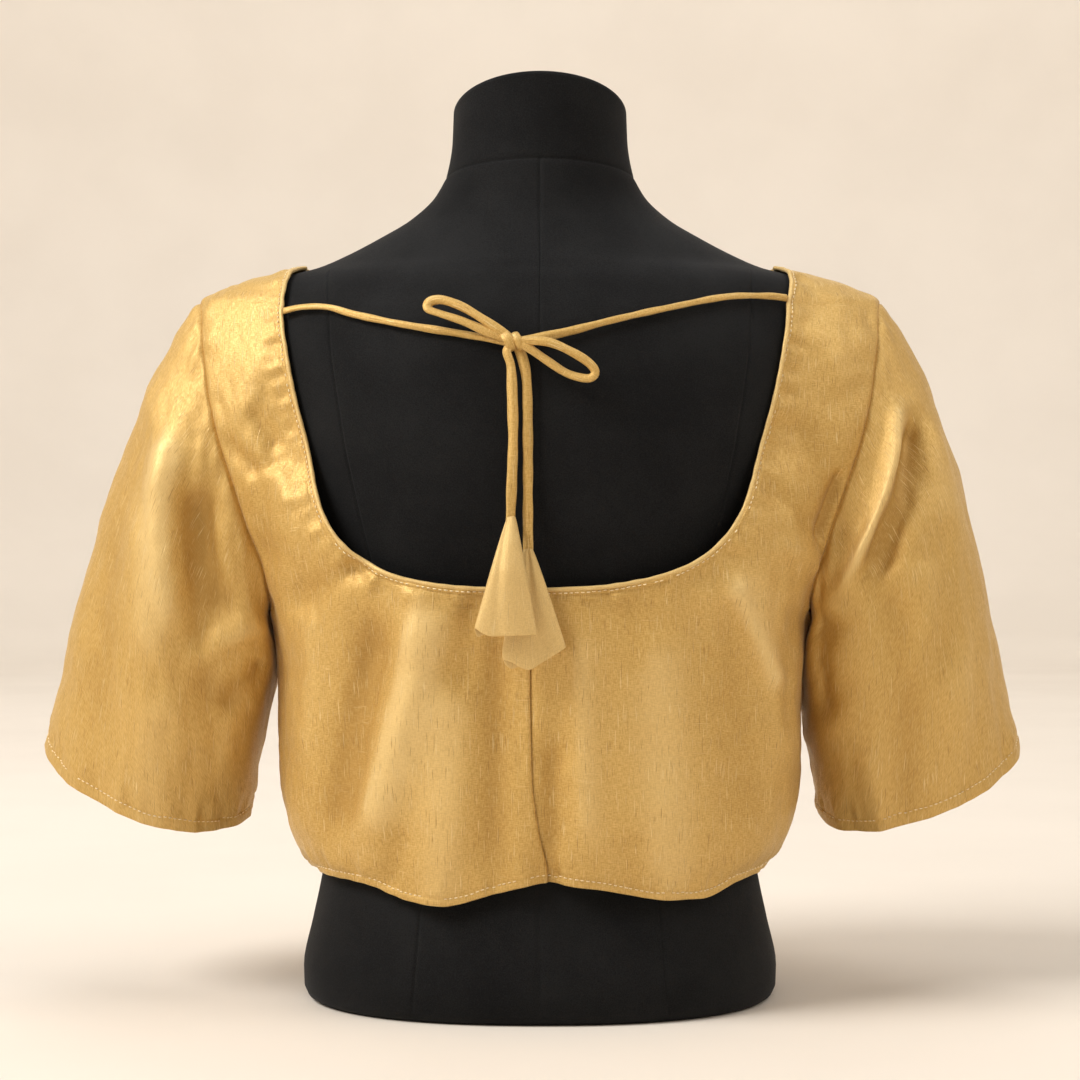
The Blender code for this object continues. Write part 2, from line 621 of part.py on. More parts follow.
def seam_normals(side):
    """Round the armhole: the wall's shared end direction, its reach, and the step off the seam."""
    angle, height = armhole_loop(side, ARMHOLE_ROWS)
    body = normal_of(torso, angle, height)
    _, sleeve = sleeve_grid(side)
    shared = unit(body + sleeve[0])
    folded_back = np.clip(-np.sum(body * sleeve[0], axis=-1), 0, 1)
    miter = np.maximum(np.sum(shared * body, axis=-1), LEAST_MITER)
    stretch = np.where(folded_back > 0, 1, 1 / miter)
    edge = torso(angle, height)
    along = unit(np.roll(edge, -1, axis=0) - np.roll(edge, 1, axis=0))
    into_panel = side * unit(np.cross(along, shared))
    half_gap = SEAM_GAP / 2 * (1 + UNDERARM_OPENING * folded_back)
    return shared, stretch, into_panel * half_gap[:, None]


def edge_shift(line, normals, inside, distance):
    """Steps that move an edge's points into their own piece, at right angles to the edge."""
    inward = unit(np.cross(unit(np.gradient(line, axis=0)), normals))
    inward = inward * np.sign(np.sum(inward * (inside - line), axis=-1, keepdims=True))
    return inward * distance


def neck_shift(points, normals, seam_rows, distance):
    """Steps off the neck edge. At the shoulder both panels step along the seam they share."""
    edge = points[seam_rows:, 0]
    below = points[seam_rows:, 1] + points[seam_rows - 1 : -1, 0] - edge
    steps = edge_shift(edge, normals[seam_rows:, 0], below, distance)
    steps[-1] = unit(points[-1, 1] - points[-1, 0]) * distance
    return steps


def panel(side, face):
    """Outer and inner points of a half panel."""
    seam_rows = BACK_SEAM_ROWS if face == "back" else FRONT_SEAM_ROWS
    angle, height = panel_grid(side, face)
    points = torso(angle, height)
    normals = normal_of(torso, angle, height)
    stretch = np.ones(angle.shape)
    shared, reach, off_seam = seam_normals(side)
    order = np.arange(ARMHOLE_ROWS, -1, -1)
    if face == "front":
        order = np.arange(ARMHOLE_ROWS, 2 * ARMHOLE_ROWS + 1) % (2 * ARMHOLE_ROWS)
    normals[SIDE_ROWS:, -1] = shared[order]
    stretch[SIDE_ROWS:, -1] = reach[order]
    outer = points.copy()
    half_gap = SEAM_GAP / 2
    cut_back = 2 * BINDING_RADIUS + SEAM_GAP
    outer[seam_rows:, 0] += neck_shift(points, normals, seam_rows, cut_back)
    centre = slice(0, seam_rows + 1)
    outer[centre, 0] += edge_shift(
        points[centre, 0], normals[centre, 0], points[centre, 1], half_gap
    )
    sides = slice(0, SIDE_ROWS + 1)
    outer[sides, -1] += edge_shift(
        points[sides, -1], normals[sides, -1], points[sides, -2], half_gap
    )
    arm = slice(SIDE_ROWS, PANEL_ROWS + 1)
    outer[arm, -1] += off_seam[order]
    outer[-1] += edge_shift(points[-1], normals[-1], points[-2], half_gap)
    inner = outer - WALL * normals * stretch[..., None]
    return outer, inner


def sleeve(side):
    """Outer and inner points of a sleeve."""
    points, normals = sleeve_grid(side)
    shared, reach, off_seam = seam_normals(side)
    normals[0] = shared
    stretch = np.ones(points.shape[:-1])
    stretch[0] = reach
    outer = points.copy()
    outer[0] -= off_seam
    return outer, outer - WALL * normals * stretch[..., None]


def material(name):
    found = bpy.data.materials.get(name)
    if found:
        return found
    colour, roughness = COLOURS[name]
    made = bpy.data.materials.new(name)
    made.use_nodes = True
    shader = made.node_tree.nodes["Principled BSDF"]
    shader.inputs["Base Color"].default_value = colour
    shader.inputs["Roughness"].default_value = roughness
    shader.inputs["Metallic"].default_value = 0.0
    return made


def add_object(name, points, faces, finish):
    """A smooth-shaded mesh object whose faces all point out."""
    points = np.asarray(points, float)
    corners = [(face[0], face[i], face[i + 1]) for face in faces for i in range(1, len(face) - 1)]
    a, b, c = (points[[corner[i] for corner in corners]] for i in range(3))
    if np.sum(a * np.cross(b, c)) < 0:
        faces = [tuple(reversed(face)) for face in faces]
    mesh = bpy.data.meshes.new(name)
    mesh.from_pydata(points.tolist(), [], faces)
    mesh.materials.append(material(finish))
    mesh.shade_smooth()
    made = bpy.data.objects.new(name, mesh)
    bpy.context.scene.collection.objects.link(made)
    return made


def wall_faces(rows, columns, closed):
    """Quads of an outer and an inner grid and of the edges that join them."""
    def at(layer, row, column):
        return layer * rows * columns + row * columns + column % columns

    def rim(start, end):
        return (at(0, *start), at(0, *end), at(1, *end), at(1, *start))

    across = columns if closed else columns - 1
    faces = []
    for row in range(rows - 1):
        for column in range(across):
            corners = ((row, column), (row, column + 1), (row + 1, column + 1), (row + 1, column))
            faces.append(tuple(at(0, *corner) for corner in corners))
            faces.append(tuple(at(1, *corner) for corner in reversed(corners)))
    for column in range(across):
        faces.append(rim((0, column + 1), (0, column)))
        faces.append(rim((rows - 1, column), (rows - 1, column + 1)))
    if not closed:
        for row in range(rows - 1):
            faces.append(rim((row, 0), (row + 1, 0)))
            faces.append(rim((row + 1, columns - 1), (row, columns - 1)))
    return faces


def split_quads(points, quads):
    """Triangles that cut each quad along its shorter diagonal, so folds stay smooth."""
    faces = []
    for a, b, c, d in quads:
        if np.linalg.norm(points[a] - points[c]) <= np.linalg.norm(points[b] - points[d]):
            faces += [(a, b, c), (a, c, d)]
        else:
            faces += [(b, c, d), (b, d, a)]
    return faces


def add_wall(name, outer, inner, closed=False):
    points = np.concatenate([outer.reshape(-1, 3), inner.reshape(-1, 3)])
    rows, columns = outer.shape[:2]
    faces = split_quads(points, wall_faces(rows, columns, closed))
    add_object(name, points, faces, "gold_silk")


def add_tube(name, points, radius, sides_level):
    """A round cord along points, with closed ends."""
    curve = bpy.data.curves.new(name, "CURVE")
    curve.dimensions = "3D"
    curve.bevel_depth = radius
    curve.bevel_resolution = sides_level
    curve.use_fill_caps = True
    spline = curve.splines.new("POLY")
    spline.points.add(len(points) - 1)
    for spot, point in zip(spline.points, points):
        spot.co = (*point, 1.0)
    spline.use_smooth = True
    curve.materials.append(material("gold_silk"))
    made = bpy.data.objects.new(name, curve)
    bpy.context.scene.collection.objects.link(made)


def neck_binding_line():
    """Middle of the rolled neck edge, from the front's left half round the back to the right."""
    lines = []
    order = ((-1, "front", True), (-1, "back", False), (1, "back", True), (1, "front", False))
    for side, face, forward in order:
        seam_rows = BACK_SEAM_ROWS if face == "back" else FRONT_SEAM_ROWS
        angle, height = panel_grid(side, face)
        points = torso(angle, height)
        normals = normal_of(torso, angle, height)
        line = points[seam_rows:, 0] + neck_shift(points, normals, seam_rows, BINDING_RADIUS)
        line -= BINDING_SINK * normals[seam_rows:, 0]
        if face == "front":
            line[0] += (side * SEAM_GAP, 0, 0)
        lines.append(line if forward else line[::-1])
    joined = [lines[0]] + [line[1:] for line in lines[1:]]
    return np.concatenate(joined)


def on_form(x, z, clearance):
    """A cord's middle at a place on the form's back, clear of it."""
    x, z, clearance = (np.asarray(v, float) for v in (x, z, clearance))
    angle = ring_angle(FORM, x, z, "back")
    normals = normal_of(lambda a, b: ring_point(FORM, a, b), angle, z)
    return ring_point(FORM, angle, z) + normals * (CORD_RADIUS + clearance)[..., None]


def smooth_route(points):
    """Close points on a smooth curve through a cord's own points."""
    points = np.asarray(points, float)
    ends = np.concatenate([[2 * points[0] - points[1]], points, [2 * points[-1] - points[-2]]])
    t = np.linspace(0, 1, ROUTE_STEPS, endpoint=False)[:, None]
    dense = []
    for a, b, c, d in zip(ends, ends[1:], ends[2:], ends[3:]):
        square = a - 2.5 * b + 2 * c - d / 2
        cube = 1.5 * (b - c) + (d - a) / 2
        dense.append(b + t * (c - a) / 2 + t**2 * square + t**3 * cube)
    return np.concatenate(dense + [points[-1:]])


def evenly(dense, step):
    """Points at equal steps of length along a line."""
    lengths = np.concatenate([[0], np.cumsum(np.linalg.norm(np.diff(dense, axis=0), axis=1))])
    places = np.linspace(0, lengths[-1], max(3, round(lengths[-1] / step) + 1))
    return np.stack([np.interp(places, lengths, dense[:, i]) for i in range(3)], axis=1)


def tie_start(name, toward):
    """Where a tie leaves the neck edge on its way toward its next place."""
    side = -1 if name == "left" else 1
    angle, height = neckline(side, "back", 200)
    i = np.argmin(np.abs(height - TIE_HEIGHTS[name]))
    edge = torso(angle[i : i + 1], height[i : i + 1])[0]
    return edge + unit(toward - edge) * TIE_START_GAP


def outside_knot(points, middle):
    """The part of a cord that lies clear of the knot."""
    sizes = np.array(KNOT_HALF_SIZES) + KNOT_CLEARANCE
    away = np.linalg.norm((points - middle) / sizes, axis=1) >= 1
    return points[away]


def add_knot(middle):
    """The bow's knot, as a smooth flattened ball."""
    up = np.linspace(0, math.pi, KNOT_RINGS + 1)[1:-1, None]
    turn = np.linspace(0, 2 * math.pi, KNOT_STEPS, endpoint=False)[None]
    level = np.cos(up) + 0 * turn
    ball = np.stack([np.sin(up) * np.cos(turn), np.sin(up) * np.sin(turn), level], -1)
    points = np.concatenate([ball.reshape(-1, 3), [[0, 0, 1], [0, 0, -1]]])
    points = points * KNOT_HALF_SIZES + middle
    last = (KNOT_RINGS - 2) * KNOT_STEPS
    faces = ring_faces(KNOT_RINGS - 1, KNOT_STEPS)
    for i in range(KNOT_STEPS):
        j = (i + 1) % KNOT_STEPS
        faces.append((len(points) - 2, j, i))
        faces.append((len(points) - 1, last + i, last + j))
    add_object("knot", points, faces, "gold_silk")


def ring_faces(rows, columns):
    """Quads between the rings of a closed tube."""
    faces = []
    for row in range(rows - 1):
        for column in range(columns):
            after = (column + 1) % columns
            low = row * columns
            high = low + columns
            faces.append((low + column, low + after, high + after, high + column))
    return faces


def add_pendant(name, rows):
    """A folded cloth tassel: flat oval sections that widen downward."""
    turn = np.linspace(0, 2 * math.pi, PENDANT_STEPS, endpoint=False)
    points = []
    for row in rows:
        here = dict(zip(PENDANT_COLUMNS, row))
        across = np.cos(turn)
        along = np.sin(turn)
        power = 2 / PENDANT_FULLNESS
        x = (here["right"] - here["left"]) / 2 * np.sign(across) * np.abs(across) ** power
        y = (here["back_y"] - here["front_y"]) / 2 * np.sign(along) * np.abs(along) ** power
        x = x + (here["left"] + here["right"]) / 2
        y = y + (here["front_y"] + here["back_y"]) / 2
        points.append(np.stack([x, y, here["height"] + 0 * x], -1))
    faces = ring_faces(len(rows), PENDANT_STEPS)
    faces.append(tuple(reversed(range(PENDANT_STEPS))))
    faces.append(tuple(range((len(rows) - 1) * PENDANT_STEPS, len(rows) * PENDANT_STEPS)))
    add_object(name, np.concatenate(points), faces, "gold_silk")


def add_cords():
    x, z, clearance = KNOT_MIDDLE
    middle = on_form([x], [z], [clearance])[0]
    add_knot(middle)
    for name in ("left", "right"):
        routes = {"tie": TIES[name], "bow": BOWS[name], "tail": TAILS[name]}
        for kind, places in routes.items():
            points = on_form(*np.array(places).T)
            if kind == "tie":
                points = np.concatenate([[tie_start(name, points[0])], points])
            line = evenly(outside_knot(smooth_route(points), middle), CORD_STEP)
            add_tube(f"{kind}_{name}", line, CORD_RADIUS, 2)
        add_pendant(f"pendant_{name}", PENDANTS[name])


def add_form():
    """The dress form: level rings, a slanted neck and a slightly domed cap."""
    base = FORM["height"] <= FORM_BODY[0]
    shoulder = FORM["height"] > FORM_BODY[1]
    body = np.linspace(*FORM_BODY, FORM_BODY_ROWS + 1)[1:]
    heights = np.concatenate([FORM["height"][base], body, FORM["height"][shoulder]])
    turn = np.linspace(0, 2 * math.pi, FORM_COLUMNS_AROUND, endpoint=False)
    rings = ring_point(FORM, turn[None] + 0 * heights[:, None], heights[:, None] + 0 * turn[None])
    slant = NECK_SLANT * smooth_step(NECK_SLANT_START, FORM["height"][-1], heights)
    rings[..., 2] -= slant[:, None] * rings[..., 1]
    top = rings[-1]
    middle = top.mean(axis=0)
    caps = []
    for share in NECK_CAP_STEPS:
        ring = middle + (top - middle) * share
        ring[:, 2] += NECK_CAP_RISE * (1 - share**2)
        caps.append(ring)
    peak = middle + (0, 0, NECK_CAP_RISE)
    rings = np.concatenate([rings, np.array(caps)])
    points = np.concatenate([rings.reshape(-1, 3), [peak]])
    rows = len(rings)
    faces = ring_faces(rows, FORM_COLUMNS_AROUND)
    start = (rows - 1) * FORM_COLUMNS_AROUND
    for i in range(FORM_COLUMNS_AROUND):
        faces.append((start + i, start + (i + 1) % FORM_COLUMNS_AROUND, len(points) - 1))
    faces.append(tuple(reversed(range(FORM_COLUMNS_AROUND))))
    add_object("dress_form", points, faces, "black_cover")


def main():
    for old in list(bpy.data.objects):
        bpy.data.objects.remove(old)
    add_form()
    for side, hand in ((-1, "left"), (1, "right")):
        for face in ("back", "front"):
            add_wall(f"{face}_{hand}", *panel(side, face))
        add_wall(f"sleeve_{hand}", *sleeve(side), closed=True)
    add_tube("neck_binding", neck_binding_line(), BINDING_RADIUS, 1)
    add_cords()


main()
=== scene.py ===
import math

import bmesh
import bpy
import numpy as np
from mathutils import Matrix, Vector
from mathutils.bvhtree import BVHTree
from mathutils.kdtree import KDTree


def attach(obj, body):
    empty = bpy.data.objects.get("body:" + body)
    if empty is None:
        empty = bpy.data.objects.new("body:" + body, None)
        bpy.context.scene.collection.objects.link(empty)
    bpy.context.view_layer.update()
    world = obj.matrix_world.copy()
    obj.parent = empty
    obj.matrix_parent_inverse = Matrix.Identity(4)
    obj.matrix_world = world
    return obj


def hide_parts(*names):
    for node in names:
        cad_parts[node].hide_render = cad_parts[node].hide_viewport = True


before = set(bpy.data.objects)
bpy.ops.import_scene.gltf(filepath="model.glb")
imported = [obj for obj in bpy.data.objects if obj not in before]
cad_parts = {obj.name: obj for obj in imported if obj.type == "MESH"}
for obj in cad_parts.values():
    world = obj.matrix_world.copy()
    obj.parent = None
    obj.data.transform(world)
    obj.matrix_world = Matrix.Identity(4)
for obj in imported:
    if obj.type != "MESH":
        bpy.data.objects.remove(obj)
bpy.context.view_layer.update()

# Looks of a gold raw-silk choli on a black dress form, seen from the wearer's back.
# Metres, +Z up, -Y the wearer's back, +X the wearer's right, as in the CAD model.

# The garment's surfaces, the same tables as in the CAD model
RING_COLUMNS = ("height", "half_width", "back", "front", "fullness")
FORM_RINGS = (
    (0.0, 0.1345, 0.099, 0.09, 2.3),
    (0.0025, 0.1384, 0.1026, 0.0936, 2.3),
    (0.007, 0.1404, 0.1046, 0.0957, 2.3),
    (0.018, 0.1408, 0.105, 0.0965, 2.3),
    (0.045, 0.1355, 0.1015, 0.095, 2.3),
    (0.066, 0.131, 0.097, 0.0925, 2.3),
    (0.1, 0.1252, 0.0905, 0.0905, 2.3),
    (0.13, 0.1225, 0.088, 0.092, 2.3),
    (0.16, 0.124, 0.089, 0.0985, 2.3),
    (0.2, 0.132, 0.0965, 0.111, 2.3),
    (0.24, 0.143, 0.1035, 0.1235, 2.3),
    (0.28, 0.152, 0.1095, 0.1295, 2.25),
    (0.32, 0.16, 0.1115, 0.1245, 2.2),
    (0.36, 0.171, 0.1085, 0.1095, 2.05),
    (0.385, 0.178, 0.103, 0.098, 1.9),
    (0.4, 0.18, 0.097, 0.089, 1.78),
    (0.412, 0.1785, 0.0905, 0.081, 1.68),
    (0.42, 0.1725, 0.0855, 0.0755, 1.64),
    (0.4255, 0.162, 0.081, 0.0715, 1.62),
    (0.429, 0.147, 0.0785, 0.069, 1.62),
    (0.432, 0.135, 0.076, 0.0665, 1.64),
    (0.439, 0.118, 0.0705, 0.062, 1.7),
    (0.45, 0.0965, 0.0635, 0.0575, 1.8),
    (0.4608, 0.078, 0.058, 0.0545, 1.9),
    (0.4752, 0.0624, 0.0535, 0.053, 1.97),
    (0.4896, 0.0553, 0.0507, 0.0535, 2.0),
    (0.5065, 0.0525, 0.049, 0.055, 2.0),
    (0.524, 0.0518, 0.0485, 0.0565, 2.0),
)
CLOTH_RINGS = (
    (0.055, 0.1325, 0.1015, 0.1, 2.3),
    (0.075, 0.1338, 0.1035, 0.1015, 2.3),
    (0.09, 0.144, 0.1062, 0.1065, 2.3),
    (0.105, 0.1505, 0.1085, 0.111, 2.3),
    (0.126, 0.1545, 0.11, 0.1155, 2.3),
    (0.16, 0.1552, 0.1112, 0.1205, 2.3),
    (0.19, 0.156, 0.1122, 0.1255, 2.3),
    (0.21, 0.158, 0.1132, 0.129, 2.3),
    (0.228, 0.161, 0.1142, 0.1318, 2.3),
    (0.25, 0.17, 0.1152, 0.1345, 2.3),
    (0.275, 0.183, 0.116, 0.1352, 2.28),
    (0.3, 0.1925, 0.1162, 0.1335, 2.25),
    (0.33, 0.203, 0.115, 0.1265, 2.2),
    (0.36, 0.209, 0.112, 0.1145, 2.05),
    (0.385, 0.21, 0.1065, 0.1025, 1.9),
    (0.4, 0.208, 0.1005, 0.093, 1.78),
    (0.412, 0.2045, 0.094, 0.085, 1.68),
    (0.418, 0.195, 0.09, 0.081, 1.65),
    (0.425, 0.176, 0.085, 0.076, 1.62),
    (0.431, 0.146, 0.0805, 0.0715, 1.62),
    (0.44, 0.12, 0.074, 0.065, 1.7),
)
UNDERARM = 0.228
SHOULDER_TIP = 0.412
SHOULDER_NECK = 0.4328
BACK_NECK = 0.2435
FRONT_NECK = 0.300
NECKLINE_COLUMNS = ("half_width", "height")
BACK_NECKLINE = (
    (0.0, BACK_NECK),
    (0.035, 0.2448),
    (0.065, 0.249),
    (0.09, 0.2575),
    (0.1065, 0.2705),
    (0.1195, 0.288),
    (0.1298, 0.311),
    (0.1378, 0.336),
    (0.1436, 0.362),
    (0.147, 0.388),
    (0.1482, 0.408),
    (0.1472, 0.4215),
    (0.1438, 0.429),
    (0.138, SHOULDER_NECK),
)
FRONT_NECKLINE = (
    (0.0, FRONT_NECK),
    (0.03, 0.302),
    (0.06, 0.3095),
    (0.085, 0.3225),
    (0.105, 0.341),
    (0.12, 0.363),
    (0.133, 0.388),
    (0.1415, 0.412),
    (0.1425, 0.426),
    (0.138, SHOULDER_NECK),
)
HEM_COLUMNS = ("angle", "height")
HEM = (
    (-180.0, 0.0772),
    (-157.0, 0.0772),
    (-135.0, 0.0758),
    (-120.5, 0.0688),
    (-110.0, 0.0672),
    (-98.0, 0.0738),
    (-89.0, 0.079),
    (-80.0, 0.0768),
    (-63.0, 0.0698),
    (-50.0, 0.0687),
    (-34.0, 0.075),
    (-18.0, 0.0775),
    (0.0, 0.077),
    (25.0, 0.0755),
    (48.0, 0.0722),
    (70.0, 0.0728),
    (90.0, 0.0755),
    (112.0, 0.0722),
    (134.0, 0.0728),
    (156.0, 0.0758),
    (180.0, 0.0772),
)
BACK_SEAM_COLUMNS = ("height", "x")
BACK_SEAM = (
    (0.07, 0.004),
    (0.085, 0.0032),
    (0.105, -0.001),
    (0.14, -0.0055),
    (0.2, -0.0066),
    (0.25, -0.0064),
)
SIDE_SHARE = 13 / 28
SEAM_SHARES = {"back": 8 / 28, "front": 12 / 28}
ROW_FALL = 1.6
LEAST_CLEARANCE = 0.0026
SETTLE_WIDTH = 0.055
SETTLE_RIDGE = 0.030
SETTLE_HEIGHTS = {"back": (0.262, 0.33), "front": (0.31, 0.37)}
ARMHOLE_LOW_ANGLE = 28.0
ARMHOLE_HIGH_ANGLE = 20.5
ARMHOLE_SQUARENESS = 0.55
NECK_SHIFT = -0.0040
NECK_SHIFT_FADE = 0.026
BINDING_RADIUS = 0.0013
BINDING_SINK = 0.00035
SEAM_GAP = 0.0003

SLEEVE_COLUMNS = ("side", "cuff_x", "cuff_y", "cuff_z", "cuff_half_width", "cuff_half_depth")
SLEEVES = (
    (-1, 0.2375, 0.027, 0.1262, 0.068, 0.06),
    (1, 0.2285, 0.027, 0.1262, 0.067, 0.06),
)
ARM_MIDDLE = (0.185, 0.0, 0.32)
ARM_LEAVES = (0.085, 0.006, -0.15)
ARM_ARRIVES = (0.035, 0.04, -0.2)
CUFF_RISE = math.radians(19.0)
CUFF_DIP = math.radians(19.0)
SLEEVE_BACK_BULGE = 0.0120
SLEEVE_FRONT_BULGE = 0.0090
SLEEVE_INNER_BULGE = 0.0100
SLEEVE_OUTER_BULGE = 0.0050
SLEEVE_OUTER_EARLY = 0.6

# The CAD model's folds
FOLD_COLUMNS = ("x0", "z0", "x1", "z1", "x2", "z2", "left_width", "right_width", "height")
FOLDS = {
    ("torso", "back"): (
        (-0.05, 0.255, -0.078, 0.17, -0.104, 0.085, 0.02, 0.022, 0.0042),
        (-0.086, 0.25, -0.106, 0.17, -0.124, 0.08, 0.014, 0.012, -0.0046),
        (-0.046, 0.2, -0.052, 0.13, -0.054, 0.04, 0.018, 0.02, 0.0044),
        (-0.022, 0.24, -0.024, 0.15, -0.022, 0.05, 0.012, 0.012, -0.003),
        (0.01, 0.17, 0.006, 0.115, 0.005, 0.045, 0.007, 0.01, -0.0046),
        (0.028, 0.245, 0.03, 0.16, 0.034, 0.06, 0.014, 0.016, 0.0022),
        (0.066, 0.23, 0.068, 0.15, 0.076, 0.04, 0.024, 0.022, 0.0048),
        (0.096, 0.24, 0.112, 0.175, 0.118, 0.085, 0.016, 0.016, -0.003),
        (0.104, 0.262, 0.134, 0.21, 0.152, 0.12, 0.018, 0.02, 0.004),
        (-0.086, 0.262, -0.115, 0.248, -0.15, 0.228, 0.008, 0.009, -0.003),
        (-0.15, 0.33, -0.16, 0.29, -0.15, 0.245, 0.012, 0.01, -0.0026),
        (0.15, 0.35, 0.163, 0.305, 0.158, 0.262, 0.01, 0.012, -0.003),
    ),
    ("torso", "front"): (
        (-0.07, 0.27, -0.078, 0.17, -0.07, 0.04, 0.022, 0.02, 0.005),
        (-0.112, 0.25, -0.108, 0.17, -0.104, 0.06, 0.014, 0.016, -0.004),
        (-0.036, 0.23, -0.032, 0.15, -0.034, 0.04, 0.014, 0.014, -0.0034),
        (0.074, 0.275, 0.082, 0.17, 0.078, 0.04, 0.02, 0.022, 0.0052),
        (0.116, 0.255, 0.112, 0.18, 0.106, 0.06, 0.015, 0.014, -0.004),
        (0.04, 0.225, 0.034, 0.15, 0.036, 0.04, 0.014, 0.013, -0.0032),
        (-0.125, 0.345, -0.11, 0.315, -0.085, 0.29, 0.011, 0.013, -0.0026),
        (0.126, 0.35, 0.112, 0.318, 0.082, 0.292, 0.012, 0.011, -0.0028),
    ),
    ("left_sleeve", "back"): (
        (-0.204, 0.352, -0.224, 0.27, -0.218, 0.175, 0.012, 0.014, 0.0048),
        (-0.192, 0.318, -0.198, 0.24, -0.186, 0.15, 0.01, 0.01, -0.0052),
        (-0.232, 0.35, -0.252, 0.26, -0.262, 0.12, 0.014, 0.014, -0.0036),
        (-0.214, 0.19, -0.226, 0.14, -0.23, 0.06, 0.016, 0.016, 0.0036),
    ),
    ("left_sleeve", "front"): (
        (-0.202, 0.34, -0.222, 0.26, -0.214, 0.15, 0.013, 0.012, 0.0046),
        (-0.23, 0.345, -0.248, 0.25, -0.254, 0.09, 0.012, 0.014, -0.0044),
        (-0.186, 0.29, -0.19, 0.22, -0.188, 0.11, 0.01, 0.01, -0.0036),
    ),
    ("right_sleeve", "back"): (
        (0.205, 0.358, 0.2, 0.3, 0.166, 0.228, 0.01, 0.006, 0.0075),
        (0.216, 0.35, 0.214, 0.3, 0.18, 0.225, 0.007, 0.011, -0.007),
        (0.222, 0.35, 0.24, 0.27, 0.246, 0.13, 0.014, 0.014, 0.0036),
        (0.2, 0.25, 0.212, 0.19, 0.216, 0.08, 0.012, 0.012, -0.004),
    ),
    ("right_sleeve", "front"): (
        (0.204, 0.345, 0.22, 0.262, 0.212, 0.15, 0.013, 0.012, 0.0046),
        (0.228, 0.34, 0.244, 0.245, 0.248, 0.09, 0.014, 0.012, -0.0042),
        (0.186, 0.295, 0.192, 0.225, 0.19, 0.11, 0.01, 0.01, -0.0036),
    ),
}
FOLD_STEPS = 12
FOLD_TAPER = 0.22
FACING_GAIN = 1.8
SLEEVE_FOLD_START = 0.10

